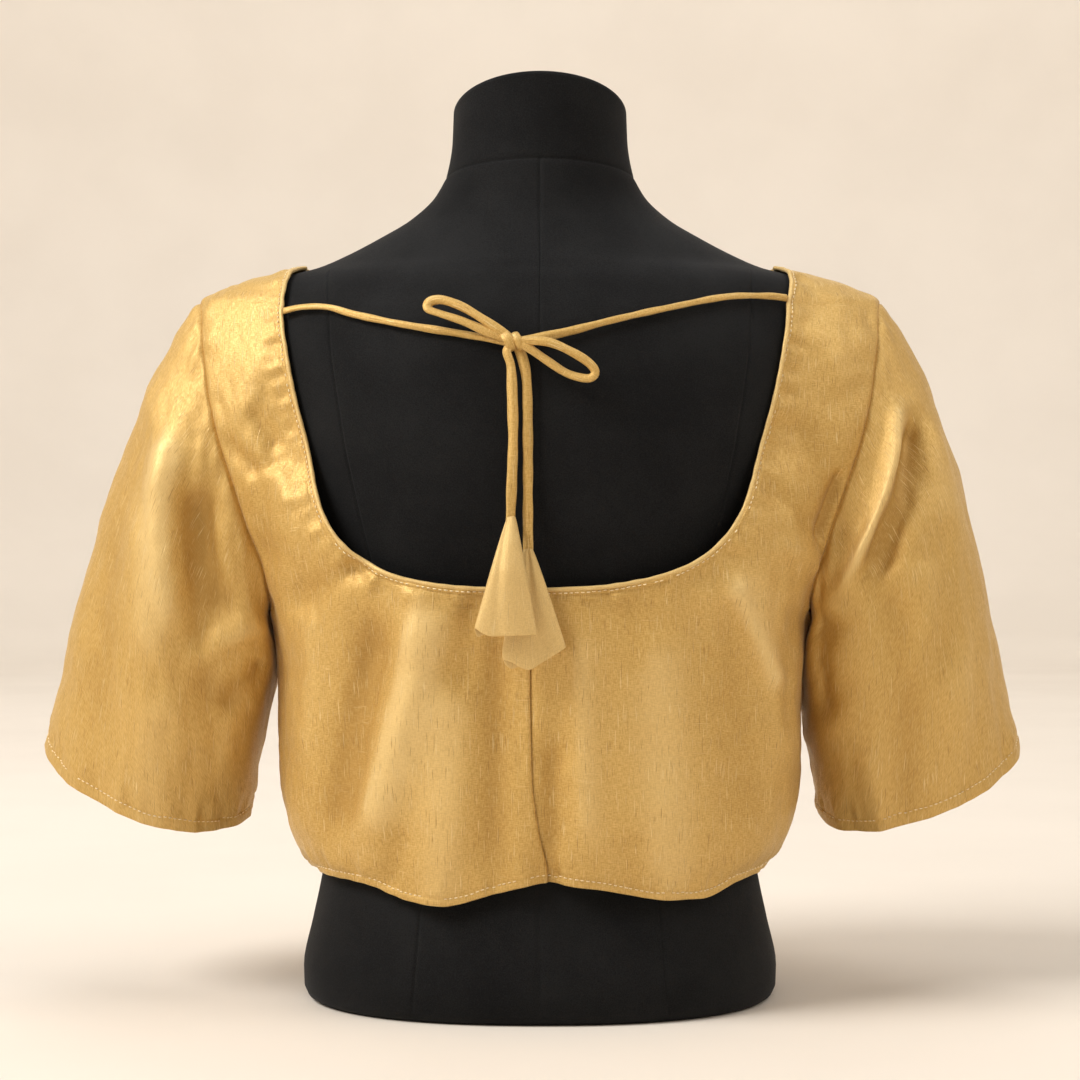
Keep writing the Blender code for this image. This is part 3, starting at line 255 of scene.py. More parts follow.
# Smaller creases that only the looks have
CREASES = {
    ("torso", "back"): (
        (0.118, 0.3, 0.14, 0.292, 0.16, 0.27, 0.007, 0.006, -0.0016),
        (0.128, 0.268, 0.148, 0.262, 0.163, 0.25, 0.006, 0.006, 0.0012),
        (0.104, 0.258, 0.122, 0.216, 0.141, 0.18, 0.006, 0.007, 0.0026),
        (0.176, 0.312, 0.169, 0.29, 0.16, 0.262, 0.007, 0.006, -0.004),
        (0.15, 0.236, 0.144, 0.2, 0.146, 0.15, 0.008, 0.008, -0.002),
        (-0.088, 0.236, -0.1, 0.165, -0.116, 0.095, 0.009, 0.01, -0.003),
        (-0.058, 0.24, -0.076, 0.17, -0.098, 0.1, 0.01, 0.011, 0.0024),
        (-0.022, 0.235, -0.026, 0.15, -0.03, 0.08, 0.007, 0.008, -0.0016),
        (0.022, 0.235, 0.024, 0.16, 0.028, 0.09, 0.007, 0.008, 0.0016),
        (-0.062, 0.246, -0.07, 0.225, -0.072, 0.195, 0.006, 0.006, 0.0012),
        (-0.036, 0.24, -0.04, 0.215, -0.042, 0.18, 0.006, 0.007, -0.0012),
        (0.048, 0.243, 0.052, 0.22, 0.052, 0.19, 0.006, 0.007, -0.0011),
        (0.088, 0.25, 0.094, 0.23, 0.096, 0.205, 0.006, 0.006, 0.0012),
        (-0.136, 0.235, -0.128, 0.19, -0.136, 0.13, 0.009, 0.009, 0.0018),
        (-0.186, 0.33, -0.172, 0.318, -0.16, 0.305, 0.006, 0.007, -0.0022),
        (-0.168, 0.347, -0.157, 0.335, -0.149, 0.318, 0.006, 0.006, -0.002),
        (-0.152, 0.312, -0.146, 0.3, -0.14, 0.285, 0.007, 0.007, 0.0018),
        (-0.15, 0.385, -0.162, 0.365, -0.172, 0.33, 0.01, 0.01, 0.0014),
        (0.156, 0.398, 0.168, 0.38, 0.176, 0.35, 0.01, 0.01, 0.0014),
        (-0.075, 0.11, -0.08, 0.095, -0.078, 0.07, 0.006, 0.006, -0.0012),
        (0.05, 0.11, 0.05, 0.092, 0.054, 0.07, 0.006, 0.006, -0.0012),
    ),
    ("torso", "front"): (
        (-0.14, 0.3, -0.122, 0.262, -0.112, 0.215, 0.007, 0.007, -0.002),
        (0.142, 0.3, 0.124, 0.262, 0.114, 0.215, 0.007, 0.007, -0.002),
        (-0.176, 0.312, -0.168, 0.288, -0.158, 0.258, 0.007, 0.006, -0.003),
        (0.176, 0.312, 0.168, 0.288, 0.158, 0.258, 0.006, 0.007, -0.003),
        (-0.06, 0.15, -0.056, 0.115, -0.058, 0.075, 0.007, 0.007, 0.0014),
        (0.06, 0.15, 0.058, 0.115, 0.06, 0.075, 0.007, 0.007, 0.0014),
    ),
    ("left_sleeve", "back"): (
        (-0.212, 0.34, -0.22, 0.272, -0.206, 0.205, 0.012, 0.007, 0.0044),
        (-0.196, 0.312, -0.193, 0.262, -0.172, 0.222, 0.009, 0.012, -0.0064),
        (-0.154, 0.222, -0.18, 0.212, -0.206, 0.194, 0.007, 0.009, 0.0044),
        (-0.156, 0.2, -0.168, 0.186, -0.19, 0.17, 0.008, 0.009, -0.0052),
        (-0.196, 0.33, -0.196, 0.31, -0.196, 0.286, 0.004, 0.005, 0.0016),
        (-0.2, 0.15, -0.204, 0.125, -0.208, 0.1, 0.008, 0.008, -0.0014),
    ),
    ("left_sleeve", "front"): (
        (-0.208, 0.3, -0.232, 0.23, -0.236, 0.17, 0.008, 0.008, -0.0024),
        (-0.2, 0.33, -0.196, 0.27, -0.178, 0.215, 0.008, 0.01, -0.0044),
        (-0.16, 0.215, -0.184, 0.204, -0.208, 0.186, 0.008, 0.008, 0.0036),
    ),
    ("right_sleeve", "back"): (
        (0.21, 0.345, 0.2, 0.3, 0.169, 0.236, 0.005, 0.0026, 0.0024),
        (0.2165, 0.345, 0.207, 0.296, 0.177, 0.232, 0.003, 0.008, -0.0056),
        (0.222, 0.262, 0.222, 0.225, 0.212, 0.18, 0.01, 0.01, 0.003),
        (0.232, 0.29, 0.24, 0.24, 0.23, 0.185, 0.01, 0.01, -0.0036),
        (0.168, 0.232, 0.163, 0.2, 0.168, 0.155, 0.01, 0.012, -0.0064),
        (0.19, 0.15, 0.196, 0.125, 0.2, 0.1, 0.008, 0.008, 0.0014),
    ),
    ("right_sleeve", "front"): (
        (0.208, 0.3, 0.232, 0.23, 0.236, 0.17, 0.008, 0.008, -0.0024),
        (0.2, 0.33, 0.196, 0.268, 0.176, 0.212, 0.01, 0.008, -0.0046),
        (0.16, 0.212, 0.184, 0.2, 0.208, 0.18, 0.008, 0.008, 0.0034),
    ),
}
BUST_DARTS = {
    ("torso", "front"): (
        (-0.078, 0.255, -0.076, 0.16, -0.074, 0.062, 0.0022, 0.0022, -0.0014),
        (0.078, 0.255, 0.076, 0.16, 0.074, 0.062, 0.0022, 0.0022, -0.0014),
    ),
}

# Cords: places on the form's back, with the cord's clearance above it
CORD_RADIUS = 0.0023
ROUTE_STEPS = 24
TIE_START_GAP = 0.0012
TIE_HEIGHTS = {"left": 0.4067, "right": 0.4135}
TIES = {
    "left": (
        (-0.1345, 0.4022, 0.0007),
        (-0.119, 0.401, 0.001),
        (-0.104, 0.3962, 0.0008),
        (-0.0767, 0.3895, 0.0008),
        (-0.0446, 0.3835, 0.0012),
        (-0.0186, 0.3784, 0.0022),
    ),
    "right": (
        (0.129, 0.4086, 0.0007),
        (0.1045, 0.4063, 0.001),
        (0.0737, 0.3994, 0.0008),
        (0.043, 0.3918, 0.0008),
        (0.0133, 0.3838, 0.0012),
        (-0.0106, 0.3788, 0.0022),
    ),
}
BOWS = {
    "left": (
        (-0.019, 0.3812, 0.0062),
        (-0.0308, 0.3885, 0.008),
        (-0.0415, 0.3942, 0.0092),
        (-0.052, 0.3976, 0.01),
        (-0.0586, 0.3966, 0.01),
        (-0.0594, 0.393, 0.0096),
        (-0.053, 0.3908, 0.0088),
        (-0.0418, 0.3878, 0.0074),
        (-0.0278, 0.3824, 0.0056),
    ),
    "right": (
        (-0.0136, 0.3775, 0.006),
        (0.0033, 0.3762, 0.0086),
        (0.0165, 0.3708, 0.0088),
        (0.0258, 0.3652, 0.0085),
        (0.0292, 0.3606, 0.008),
        (0.0255, 0.3576, 0.007),
        (0.0149, 0.3605, 0.005),
        (0.004, 0.367, 0.0052),
        (-0.0081, 0.3748, 0.0064),
    ),
}
TAILS = {
    "left": (
        (-0.0178, 0.3722, 0.0056),
        (-0.0156, 0.364, 0.005),
        (-0.0149, 0.3476, 0.0042),
        (-0.0145, 0.3255, 0.0042),
        (-0.0152, 0.3, 0.0052),
        (-0.0156, 0.283, 0.0078),
        (-0.0156, 0.2795, 0.0098),
    ),
    "right": (
        (-0.0116, 0.3748, 0.0024),
        (-0.0074, 0.3588, 0.002),
        (-0.0066, 0.3255, 0.0012),
        (-0.0066, 0.286, 0.0026),
        (-0.0064, 0.2672, 0.008),
        (-0.0064, 0.262, 0.0086),
    ),
}
KNOT_MIDDLE = (-0.0146, 0.3776, 0.0042)
NECK_SLANT = 0.36
NECK_SLANT_START = 0.462
NECK_CAP_RISE = 0.0035

# Fineness of the meshes
PANEL_ROWS = 160
PANEL_COLUMNS = 66
SEAM_PACE = 1.8
SHOULDER_PACE = 2.6
LEAST_ROW_SHARE = 0.3
HEM_EASE = 1.5
NORMAL_ROWS = 16
NEAREST_REACH = 0.03
PROBE = 1e-4
SLEEVE_ROWS = 110
SLEEVE_HALF_COLUMNS = 90
SLEEVE_LENGTH = 0.28
EDGE_STEPS = (0.0, 0.0006, 0.0013, 0.0021, 0.0029, 0.0037, 0.0046, 0.0058, 0.0074, 0.0094)
LINE_SAMPLES = 400
GRAIN_STEPS = (721, 121)
CORD_STEP = 0.0010
CORD_SIDES = 16
FORM_STEPS = (0.0, 0.0005, 0.0010, 0.0016, 0.0026)

# Cloth and sewing
CLOTH_THICKNESS = 0.0010
EDGE_BEAD = 0.0004
SEAM_DIP = 0.0011
SEAM_WIDTH = 0.0011
SEAM_PULL = 0.0055
SEAM_PULL_WIDTH = 0.0050
SEAM_PULL_WAVE = 0.016
SEAM_PULL_START = 0.003
CENTRE_PULL = 0.00030
ARMHOLE_PULL = 0.00045
SHOULDER_PULL = 0.00025
UNDERARM_PULL = 0.00035
HEAD_PULL = 0.00050
HEAD_PULL_PLACE = 0.0065
HEAD_PULL_WIDTH = 0.0060
HEAD_PULL_WAVE = 0.017
SEAM_CALM = 0.009
HEAD_CALM = 0.010
UNDERARM_CALM = 0.008
SEWING_FADE = 0.004
STITCH_PITCH = 0.0031
STITCH_LENGTH = 0.0020
STITCH_WIDTH = 0.00068
STITCH_GROOVE = 0.00060
STITCH_GROOVE_WIDTH = 0.0009
NECK_STITCH = 0.0033
HEM_STITCH = 0.0042
CUFF_STITCH = 0.0075
PLACKET_STITCH = 0.0060
STITCH_HEIGHT = 0.00040
STITCH_SINK = 0.00012
STITCH_STRAY = 0.00012
STITCH_REACH = 0.006
STITCH_SIDES = 6
STITCH_RINGS = ((-1.0, 0.25), (-0.8, 0.8), (-0.3, 1.0), (0.3, 1.0), (0.8, 0.8), (1.0, 0.25))
BAND_RISE = 0.0003
BAND_START = 0.0006
BAND_END = 0.0010
NECK_PUCKER = 0.0010
HEM_PUCKER = 0.0007
PLACKET_PUCKER = 0.0003
PUCKER_REACH = 0.0045
PUCKER_FINE = 0.35
PUCKER_SPREAD = 0.0065
PUCKER_WAVE = 0.013
CUT_FADE = 0.016
NECK_CUT_BACK = 0.0021
LEAST_ROOM = 0.0016
TORSO_CREASE_GAIN = 1.6
SLEEVE_CREASE_GAIN = 0.90
# Fold height that gets the full painted highlight or painted shade
MAIN_FOLD = 0.0070
RIPPLE_COUNT = 14
RIPPLE_SPREAD = (0.7, 1.6)
# Unevenness of the cloth: size, length and stretch of each field
TORSO_RIPPLES = ((0.00045, 0.034, 1.7), (0.00016, 0.012, 1.4))
SLEEVE_RIPPLES = ((0.00050, 0.036, 1.8), (0.00018, 0.013, 1.5))
SLEEVE_RIPPLE_WIDTH = 1.4
SLEEVE_TUCK = 0.0050
TUCK_HEIGHT = 0.200
TUCK_SPREAD = 0.026
TUCK_START = 0.2
TUCK_FACING = 0.8
SLEEVE_STAND_OFF = 0.0045
STAND_OFF_HEIGHTS = (0.165, 0.125)
LAP_RISE = 0.0011
LAP_WIDTH = 0.0030
LAP_REACH = 0.0008
ROLL_STEP = 0.0012
ROLL_SEED = 71
ROLL_WAVE = 0.008
ROLL_SWELL = 0.05
ROLL_OVAL = 0.03
HANDS = {-1: "left", 1: "right"}
SEEDS = {
    (-1, "back"): 110,
    (1, "back"): 210,
    (-1, "front"): 310,
    (1, "front"): 410,
    (-1, "sleeve"): 510,
    (1, "sleeve"): 610,
}

# Flat size of each cut piece: widest, longest and area
CUTS = {
    "back": (0.240, 0.427, 0.052),
    "front": (0.256, 0.423, 0.064),
    "sleeve": (0.460, 0.285, 0.080),
}

# Ties, their knot and their pendants
# A cord's half width at each place along it
CORD_HALF_WIDTHS = ((0.130, 0.0021), (0.155, 0.0026), (0.260, 0.0026), (0.290, 0.0029))
CORD_HALF_HEIGHT = 0.0015
CORD_SWELLS = ((0.06, 130), (0.04, 310))
CORD_RIDGES = (0.16, 0.08)
CORD_TWIST = 60
CORD_LEANS = ((0.35, 38), (0.20, 91))
CORD_PHASES = {"left": 0.6, "right": 2.1}
KNOT_POINTS = 44
KNOT_HALF_THICK = 0.0011
KNOT_RIDGE = 0.12
KNOT_PHASE = 1.7
# Each wrap's place in X, lean, half width, half depth and half height
KNOT_WRAPS = (
    (-0.0026, 0.0024, 0.0029, 0.0042, 0.0043),
    (0.0028, 0.0022, 0.0025, 0.0038, 0.0041),
)
PENDANT_ROWS = 22
PENDANT_HALF_COLUMNS = 14
PENDANT_THICKNESS = 0.0007
PENDANT_LEVELS = (0.0, 0.2, 0.45, 1.0)
PENDANT_BACK_RISE = 0.0016
PENDANT_GAPE = 0.0050
PENDANT_FRONT_GAPE = 0.3
PENDANT_GAPE_WIDTH = 0.09
PENDANT_FULLNESS = 0.7
PENDANT_DOME_START = 0.12
PENDANT_DOME_REACH = 0.75
PENDANT_CREASE_LEAN = 0.2
PENDANT_CREASE_WIDTH = 0.09
PENDANT_TOP_OPENING = 0.0012
PENDANT_OPENING = 0.0016
PENDANT_SHAPES = {
    "left": {
        "top": (-0.0180, -0.0132, 0.2826),
        "bottom": (
            (0.0, -0.0362, 0.2222),
            (0.14, -0.0330, 0.2196),
            (0.3, -0.0268, 0.2180),
            (1.0, -0.0006, 0.2190),
        ),
        "y": (-0.1228, -0.1272, -0.1302, -0.1318),
        "dome": 0.0028,
        "crease": 0.0010,
        "crease_at": 0.30,
        "gape_at": 0.10,
        "flare": 0.92,
    },
    "right": {
        "top": (-0.0090, -0.0038, 0.2650),
        "bottom": (
            (0.0, -0.0196, 0.2170),
            (0.15, -0.0212, 0.2045),
            (0.5, -0.0060, 0.1990),
            (1.0, 0.0152, 0.2122),
        ),
        "y": (-0.1198, -0.1216, -0.1230, -0.1238),
        "dome": 0.0022,
        "crease": 0.0010,
        "crease_at": 0.62,
        "gape_at": 0.26,
        "flare": 0.92,
    },
}

# Dress form: seams at each height, as X on the back and on the front
PRINCESS_COLUMNS = ("height", "back", "front")
PRINCESS = (
    (0.0000, 0.0720, 0.0640),
    (0.1000, 0.0640, 0.0600),
    (0.2000, 0.0800, 0.0760),
    (0.2780, 0.1000, 0.0860),
    (0.3200, 0.1095, 0.0880),
    (0.3750, 0.1185, 0.0900),
    (0.4100, 0.1215, 0.0900),
    (0.4270, 0.1230, 0.0900),
    (0.4600, 0.0600, 0.0500),
    (0.5300, 0.0300, 0.0260),
)
PRINCESS_TOP = 0.4300
PRINCESS_FADE = 0.004
SEAM_REACH = 0.86
OUT_OF_SEAM = 0.02
FORM_SPAN_COLUMNS = 16
FORM_COLLAR = 0.4850
FORM_GROOVE = 0.0006
FORM_GROOVE_WIDTH = 0.0011
FORM_GROOVE_START = (0.004, 0.012)
FORM_LIP = 0.0002
FORM_LIP_PLACE = 0.002
FORM_LIP_WIDTH = 0.0012
COLLAR_GROOVE = 1.3 * FORM_GROOVE
COLLAR_WIDTH = 0.001
FORM_FOOT = 0.018
FORM_SHOULDER = 0.40
FORM_LOW_ROWS = 74
FORM_HIGH_ROWS = 60
FORM_LEAST_STEP = 0.0006
FORM_SPAN_SHARE = 0.9
FORM_RADIUS = 0.13
CAP_SHARES = (0.985, 0.965, 0.93, 0.85, 0.7, 0.5, 0.3, 0.12)
FOOT_SHARES = (0.4, 0.8)

# Colours in linear light
# Silk: deep and light span the weave's tone, which fold height also shifts as painted shade and
# painted highlight. Dark and pale are slub colours that also serve as painted shade in fold troughs
# and painted highlight on fold ridges, and pale is the painted highlight of the neck roll and pendants
SILK_DEEP = (0.510, 0.295, 0.060, 1.0)
SILK_LIGHT = (0.720, 0.480, 0.160, 1.0)
SILK_PALE_SLUB_AND_HIGHLIGHT = (0.930, 0.730, 0.370, 1.0)
SILK_DARK_SLUB_AND_SHADE = (0.340, 0.170, 0.034, 1.0)
COVER_DEEP = (0.0022, 0.0023, 0.0026, 1.0)
COVER_LIGHT = (0.0062, 0.0065, 0.0068, 1.0)
THREAD_DEEP = (0.760, 0.560, 0.260, 1.0)
THREAD_LIGHT = (0.980, 0.860, 0.580, 1.0)
FLOOR_DEEP = (0.770, 0.701, 0.619, 1.0)
FLOOR_LIGHT = (0.800, 0.731, 0.648, 1.0)

# Silk: threads, slubs and tone changes to a metre, across and along
THREADS = 2100
THREAD_LENGTHS = 330
THREAD_ROUGH = 0.55
BROAD_TONE = (14, 9)
BROAD_SHARE = 0.38
LONG_SLUBS = (1300, 62)
WIDE_SLUBS = (60, 1300)
DARK_SLUBS = (1250, 75)
SLUB_PALENESS = 0.52
# How far fold height darkens troughs as painted shade and lightens ridges as painted highlight
FOLD_SHADE_AND_HIGHLIGHT_TONE = 0.36

# Camera and light: place, what it points at, size, power and colour
CAMERA_PLACE = (0.0, -1.35, 0.27)
CAMERA_LENS = 75.0
CAMERA_SENSOR = 36.0
LIGHTS = (
    ("key", (-2.30, -1.10, 2.65), (0.0, 0.0, 0.27), 1.80, 116.0, (1.0, 0.99, 0.97)),
    ("fill", (2.60, -1.20, 2.80), (0.0, 0.0, 0.27), 2.40, 40.0, (1.0, 0.99, 0.97)),
    ("top", (0.60, 0.40, 4.40), (0.0, 0.90, 0.0), 4.00, 50.0, (1.0, 0.99, 0.97)),
    ("backdrop", (0.0, 2.40, 4.40), (0.0, 5.20, 1.40), 3.00, 79.0, (1.0, 0.99, 0.97)),
)
WORLD_COLOUR = (1.0, 0.99, 0.97, 1.0)
WORLD_STRENGTH = 0.12
SWEEP_FLAT = (0.02, 1.2)
SWEEP_REACH = 3.6
SWEEP_BEND = 1.6
SWEEP_HEIGHT = 5.5
SWEEP_SIDES = 72
SWEEP_STEPS = 25


def table(columns, rows):
    """Each named column of a table as an array."""
    return {name: np.array([row[i] for row in rows]) for i, name in enumerate(columns)}


def smooth_curve(places, values, at):
    """A smooth curve through a table's values that doesn't overshoot them."""
    step = np.diff(places)
    slope = np.diff(values) / step
    product = slope[1:] * slope[:-1]
    total = slope[1:] + slope[:-1]
    shared = np.where(product > 0, 2 * product / np.where(product > 0, total, 1), 0)
    slopes = np.concatenate([slope[:1], shared, slope[-1:]])
    i = np.clip(np.searchsorted(places, at, side="right") - 1, 0, len(step) - 1)
    t = (at - places[i]) / step[i]
    rest = 1 - t
    ends = values[i] * (1 + 2 * t) * rest**2 + values[i + 1] * (3 - 2 * t) * t**2
    return ends + step[i] * (slopes[i] * t * rest**2 - slopes[i + 1] * rest * t**2)


def smooth_step(low, high, at):
    t = np.clip((at - low) / (high - low), 0, 1)
    return t * t * (3 - 2 * t)


def unit(vectors):
    return vectors / np.maximum(np.linalg.norm(vectors, axis=-1, keepdims=True), 1e-12)


def bell(distance, width):
    return np.exp(-((distance / width) ** 2))


FORM = table(RING_COLUMNS, FORM_RINGS)
CLOTH = table(RING_COLUMNS, CLOTH_RINGS)
NECKLINES = {
    "back": table(NECKLINE_COLUMNS, BACK_NECKLINE),
    "front": table(NECKLINE_COLUMNS, FRONT_NECKLINE),
}
HEM_LINE = table(HEM_COLUMNS, HEM)
SEAM_LINE = table(BACK_SEAM_COLUMNS, BACK_SEAM)
SEAMS = table(PRINCESS_COLUMNS, PRINCESS)


# The same surfaces as the CAD model's

def ring_point(rings, angle, height):
    """A point on a stack of level oval rings. Angle 0 is the right side and 90 degrees the front."""
    half, back, front, fullness = (
        smooth_curve(rings["height"], rings[name], height) for name in RING_COLUMNS[1:]
    )
    across = np.cos(angle)
    along = np.sin(angle)
    x = half * np.sign(across) * np.abs(across) ** (2 / fullness)
    y = np.where(along > 0, front, back) * np.sign(along) * np.abs(along) ** (2 / fullness)
    return np.stack([x, y, height + 0 * x], axis=-1)


def ring_angle(rings, x, height, face):
    """The angle at which a ring passes a given X, on its front or its back."""
    half = smooth_curve(rings["height"], rings["half_width"], height)
    fullness = smooth_curve(rings["height"], rings["fullness"], height)
    share = np.clip(np.abs(x) / half, 0, 1) ** (fullness / 2)
    angle = np.arccos(np.sign(x) * share)
    return angle if face == "front" else -angle


def normal_of(surface, a, b, step_a=1e-3, step_b=2e-4):
    """The surface's direction outward, from points close by."""
    along_a = surface(a + step_a, b) - surface(a - step_a, b)
    along_b = surface(a, b + step_b) - surface(a, b - step_b)
    return unit(np.cross(along_a, along_b))


def clearance(points):
    """Distance of points outside the form, and the direction straight away from it."""
    def share(at):
        half, back, front, fullness = (
            smooth_curve(FORM["height"], FORM[name], at[..., 2]) for name in RING_COLUMNS[1:]
        )
        across = np.abs(at[..., 0]) / half
        along = np.abs(at[..., 1]) / np.where(at[..., 1] > 0, front, back)
        return (across**fullness + along**fullness) ** (1 / fullness)

    steps = PROBE * np.eye(3)
    rises = [share(points + step) - share(points - step) for step in steps]
    slope = np.stack(rises, -1) / (2 * PROBE)
    steepness = np.linalg.norm(slope, axis=-1)
    return (share(points) - 1) / steepness, slope / steepness[..., None]


def curve_distance(route, x, z):
    """How far points lie from a curve in X and Z, where along it, and on which side."""
    t = np.linspace(0, 1, FOLD_STEPS + 1)
    (x0, z0), (x1, z1), (x2, z2) = route
    xs = x0 + t * (4 * x1 - 3 * x0 - x2) + t**2 * (2 * x0 - 4 * x1 + 2 * x2)
    zs = z0 + t * (4 * z1 - 3 * z0 - z2) + t**2 * (2 * z0 - 4 * z1 + 2 * z2)
    nearest = np.full(np.shape(x), np.inf)
    where = np.zeros(np.shape(x))
    turn = np.zeros(np.shape(x))
    for i in range(FOLD_STEPS):
        run_x = xs[i + 1] - xs[i]
        run_z = zs[i + 1] - zs[i]
        reach = ((x - xs[i]) * run_x + (z - zs[i]) * run_z) / (run_x**2 + run_z**2)
        reach = np.clip(reach, 0, 1)
        off_x = x - xs[i] - reach * run_x
        off_z = z - zs[i] - reach * run_z
        distance = np.hypot(off_x, off_z)
        closer = distance < nearest
        nearest = np.where(closer, distance, nearest)
        where = np.where(closer, t[i] + reach / FOLD_STEPS, where)
        turn = np.where(closer, run_x * off_z - run_z * off_x, turn)
    return nearest, where, turn


def fold_height(folds, cloth, points, normals):
    """How far a table's folds lift or sink the cloth at each point."""
    total = np.zeros(points.shape[:-1])
    for face, toward in (("back", -1), ("front", 1)):
        facing = smooth_step(0, 1, normals[..., 1] * toward * FACING_GAIN)
        for fold in folds.get((cloth, face), ()):
            row = dict(zip(FOLD_COLUMNS, fold))
            route = ((row["x0"], row["z0"]), (row["x1"], row["z1"]), (row["x2"], row["z2"]))
            distance, along, turn = curve_distance(route, points[..., 0], points[..., 2])
            width = np.where(turn > 0, row["left_width"], row["right_width"])
            taper = smooth_step(0, FOLD_TAPER, along) * smooth_step(0, FOLD_TAPER, 1 - along)
            total += row["height"] * facing * taper * bell(distance, width)
    return total


def torso(angle, height):
    """The outside of the blouse's body: folds, and rest on the form beside the neck edge."""
    def plain(a, b):
        return ring_point(CLOTH, a, b)

    points = plain(angle, height)
    normals = normal_of(plain, angle, height)
    room, _ = clearance(points)
    lift = fold_height(FOLDS, "torso", points, normals)
    lift -= np.maximum(room - LEAST_CLEARANCE, 0) * settled(points)
    points = points + normals * lift[..., None]
    room, away = clearance(points)
    return points + away * np.maximum(LEAST_CLEARANCE - room, 0)[..., None]


def settled(points):
    """How much of the way the cloth sinks to the form: all at the neck edge, none far from it."""
    x, y, height = (points[..., i] for i in range(3))
    share = np.zeros(x.shape)
    for face, here in (("back", y <= 0), ("front", y > 0)):
        edge = NECKLINES[face]
        width = smooth_curve(edge["height"], edge["half_width"], height)
        near = 1 - smooth_step(0, 1, (np.abs(x) - width) / SETTLE_WIDTH)
        near *= smooth_step(*SETTLE_HEIGHTS[face], height)
        share = np.where(here, near, share)
    return share * smooth_step(0, SETTLE_RIDGE, np.abs(y))


def at_shares(angles, heights, shares):
    """Angles and heights at shares of the length along a line on the torso."""
    points = ring_point(CLOTH, angles, heights)
    lengths = np.concatenate([[0], np.cumsum(np.linalg.norm(np.diff(points, axis=0), axis=1))])
    places = shares * lengths[-1]
    return np.interp(places, lengths, angles), np.interp(places, lengths, heights)


def centre_x(face, height):
    if face == "front":
        return 0 * height
    return smooth_curve(SEAM_LINE["height"], SEAM_LINE["x"], height)


def neckline(side, face, shares):
    """From the centre seam round the neck edge to the shoulder seam."""
    edge = NECKLINES[face]
    steps = np.hypot(np.diff(edge["half_width"]), np.diff(edge["height"]))
    places = np.concatenate([[0], np.cumsum(steps)])
    dense = np.linspace(0, places[-1], LINE_SAMPLES)
    width = smooth_curve(places, edge["half_width"], dense)
    height = smooth_curve(places, edge["height"], dense)
    seam = centre_x(face, height[0]) * (1 - width / width[-1])
    shift = NECK_SHIFT * smooth_step(0, 1, width / width.max() * 2)
    shift = shift * smooth_step(0, 1, (SHOULDER_NECK - height) / NECK_SHIFT_FADE)
    x = side * width + seam + shift
    x[-1] = side * smooth_curve(CLOTH["height"], CLOTH["half_width"], height[-1])
    return at_shares(ring_angle(CLOTH, x, height, face), height, shares)


def armhole(side, face, shares):
    """From the underarm up one face of the armhole to the shoulder's tip."""
    u = np.linspace(0, 1, LINE_SAMPLES)
    height = UNDERARM + (SHOULDER_TIP - UNDERARM) * (1 - np.cos(math.pi * u)) / 2
    widest = ARMHOLE_LOW_ANGLE + (ARMHOLE_HIGH_ANGLE - ARMHOLE_LOW_ANGLE) * u
    opening = np.radians(widest) * np.abs(np.sin(math.pi * u)) ** ARMHOLE_SQUARENESS
    opening[[0, -1]] = 0
    angle = opening if side > 0 else math.pi - opening
    return at_shares(angle if face == "front" else -angle, height, shares)


def hem_height(angle):
    return smooth_curve(HEM_LINE["angle"], HEM_LINE["height"], np.degrees(angle))


def armhole_loop(side, count):
    """The whole armhole, from the shoulder's tip down the back and up the front."""
    shares = np.linspace(0, 1, count + 1)
    back_angle, back_height = armhole(side, "back", shares)
    front_angle, front_height = armhole(side, "front", shares)
    angle = np.concatenate([back_angle[::-1], front_angle[1:-1]])
    height = np.concatenate([back_height[::-1], front_height[1:-1]])
    return angle, height


def hermite(start, end, leaves, arrives, t):
    """A smooth path between two places with set directions at its ends."""
    start, end, leaves, arrives = (np.asarray(v)[None] for v in (start, end, leaves, arrives))
    t = np.asarray(t)[..., None]
    path = (2 * t**3 - 3 * t**2 + 1) * start + (3 * t**2 - 2 * t**3) * end
    return path + (t**3 - 2 * t**2 + t) * leaves + (t**3 - t**2) * arrives


def sleeve_surface(side, edge, turn, t):
    """Points of a sleeve: edge holds armhole points, turn the angle round, t the way down."""
    row = dict(zip(SLEEVE_COLUMNS, next(r for r in SLEEVES if r[0] == side)))
    mirror = np.array([side, 1, 1])
    cuff_middle = np.array([row["cuff_x"], row["cuff_y"], row["cuff_z"]])
    outward = np.array([math.cos(CUFF_RISE), 0, math.sin(CUFF_RISE)])
    backward = np.array([0, -math.cos(CUFF_DIP), -math.sin(CUFF_DIP)])
    cuff = row["cuff_half_width"] * np.cos(turn)[..., None] * outward
    cuff = cuff + row["cuff_half_depth"] * np.sin(turn)[..., None] * backward
    middle = hermite(ARM_MIDDLE, cuff_middle, ARM_LEAVES, ARM_ARRIVES, t)
    start = edge * mirror - np.array(ARM_MIDDLE)
    down = t[..., None]
    points = middle + (1 - down) * start + down * cuff
    swell = np.sin(math.pi * t)
    points[..., 1] -= SLEEVE_BACK_BULGE * swell * np.maximum(np.sin(turn), 0)
    points[..., 1] += SLEEVE_FRONT_BULGE * swell * np.maximum(-np.sin(turn), 0)
    points[..., 0] -= SLEEVE_INNER_BULGE * swell * np.maximum(-np.cos(turn), 0)
    early = np.sin(math.pi * t**SLEEVE_OUTER_EARLY)
    points[..., 0] += SLEEVE_OUTER_BULGE * early * np.maximum(np.cos(turn), 0)
    return points * mirror


def tube_normals(points, side):
    """Outward directions of a tube's grid whose columns close on themselves."""
    round_it = np.roll(points, -1, axis=1) - np.roll(points, 1, axis=1)
    down_it = np.gradient(points, axis=0)
    return unit(np.cross(round_it, down_it)) * side


# Meshes

def link(name, data):
    """An object in the scene for a mesh, a light or a camera."""
    made = bpy.data.objects.new(name, data)
    bpy.context.scene.collection.objects.link(made)
    return made


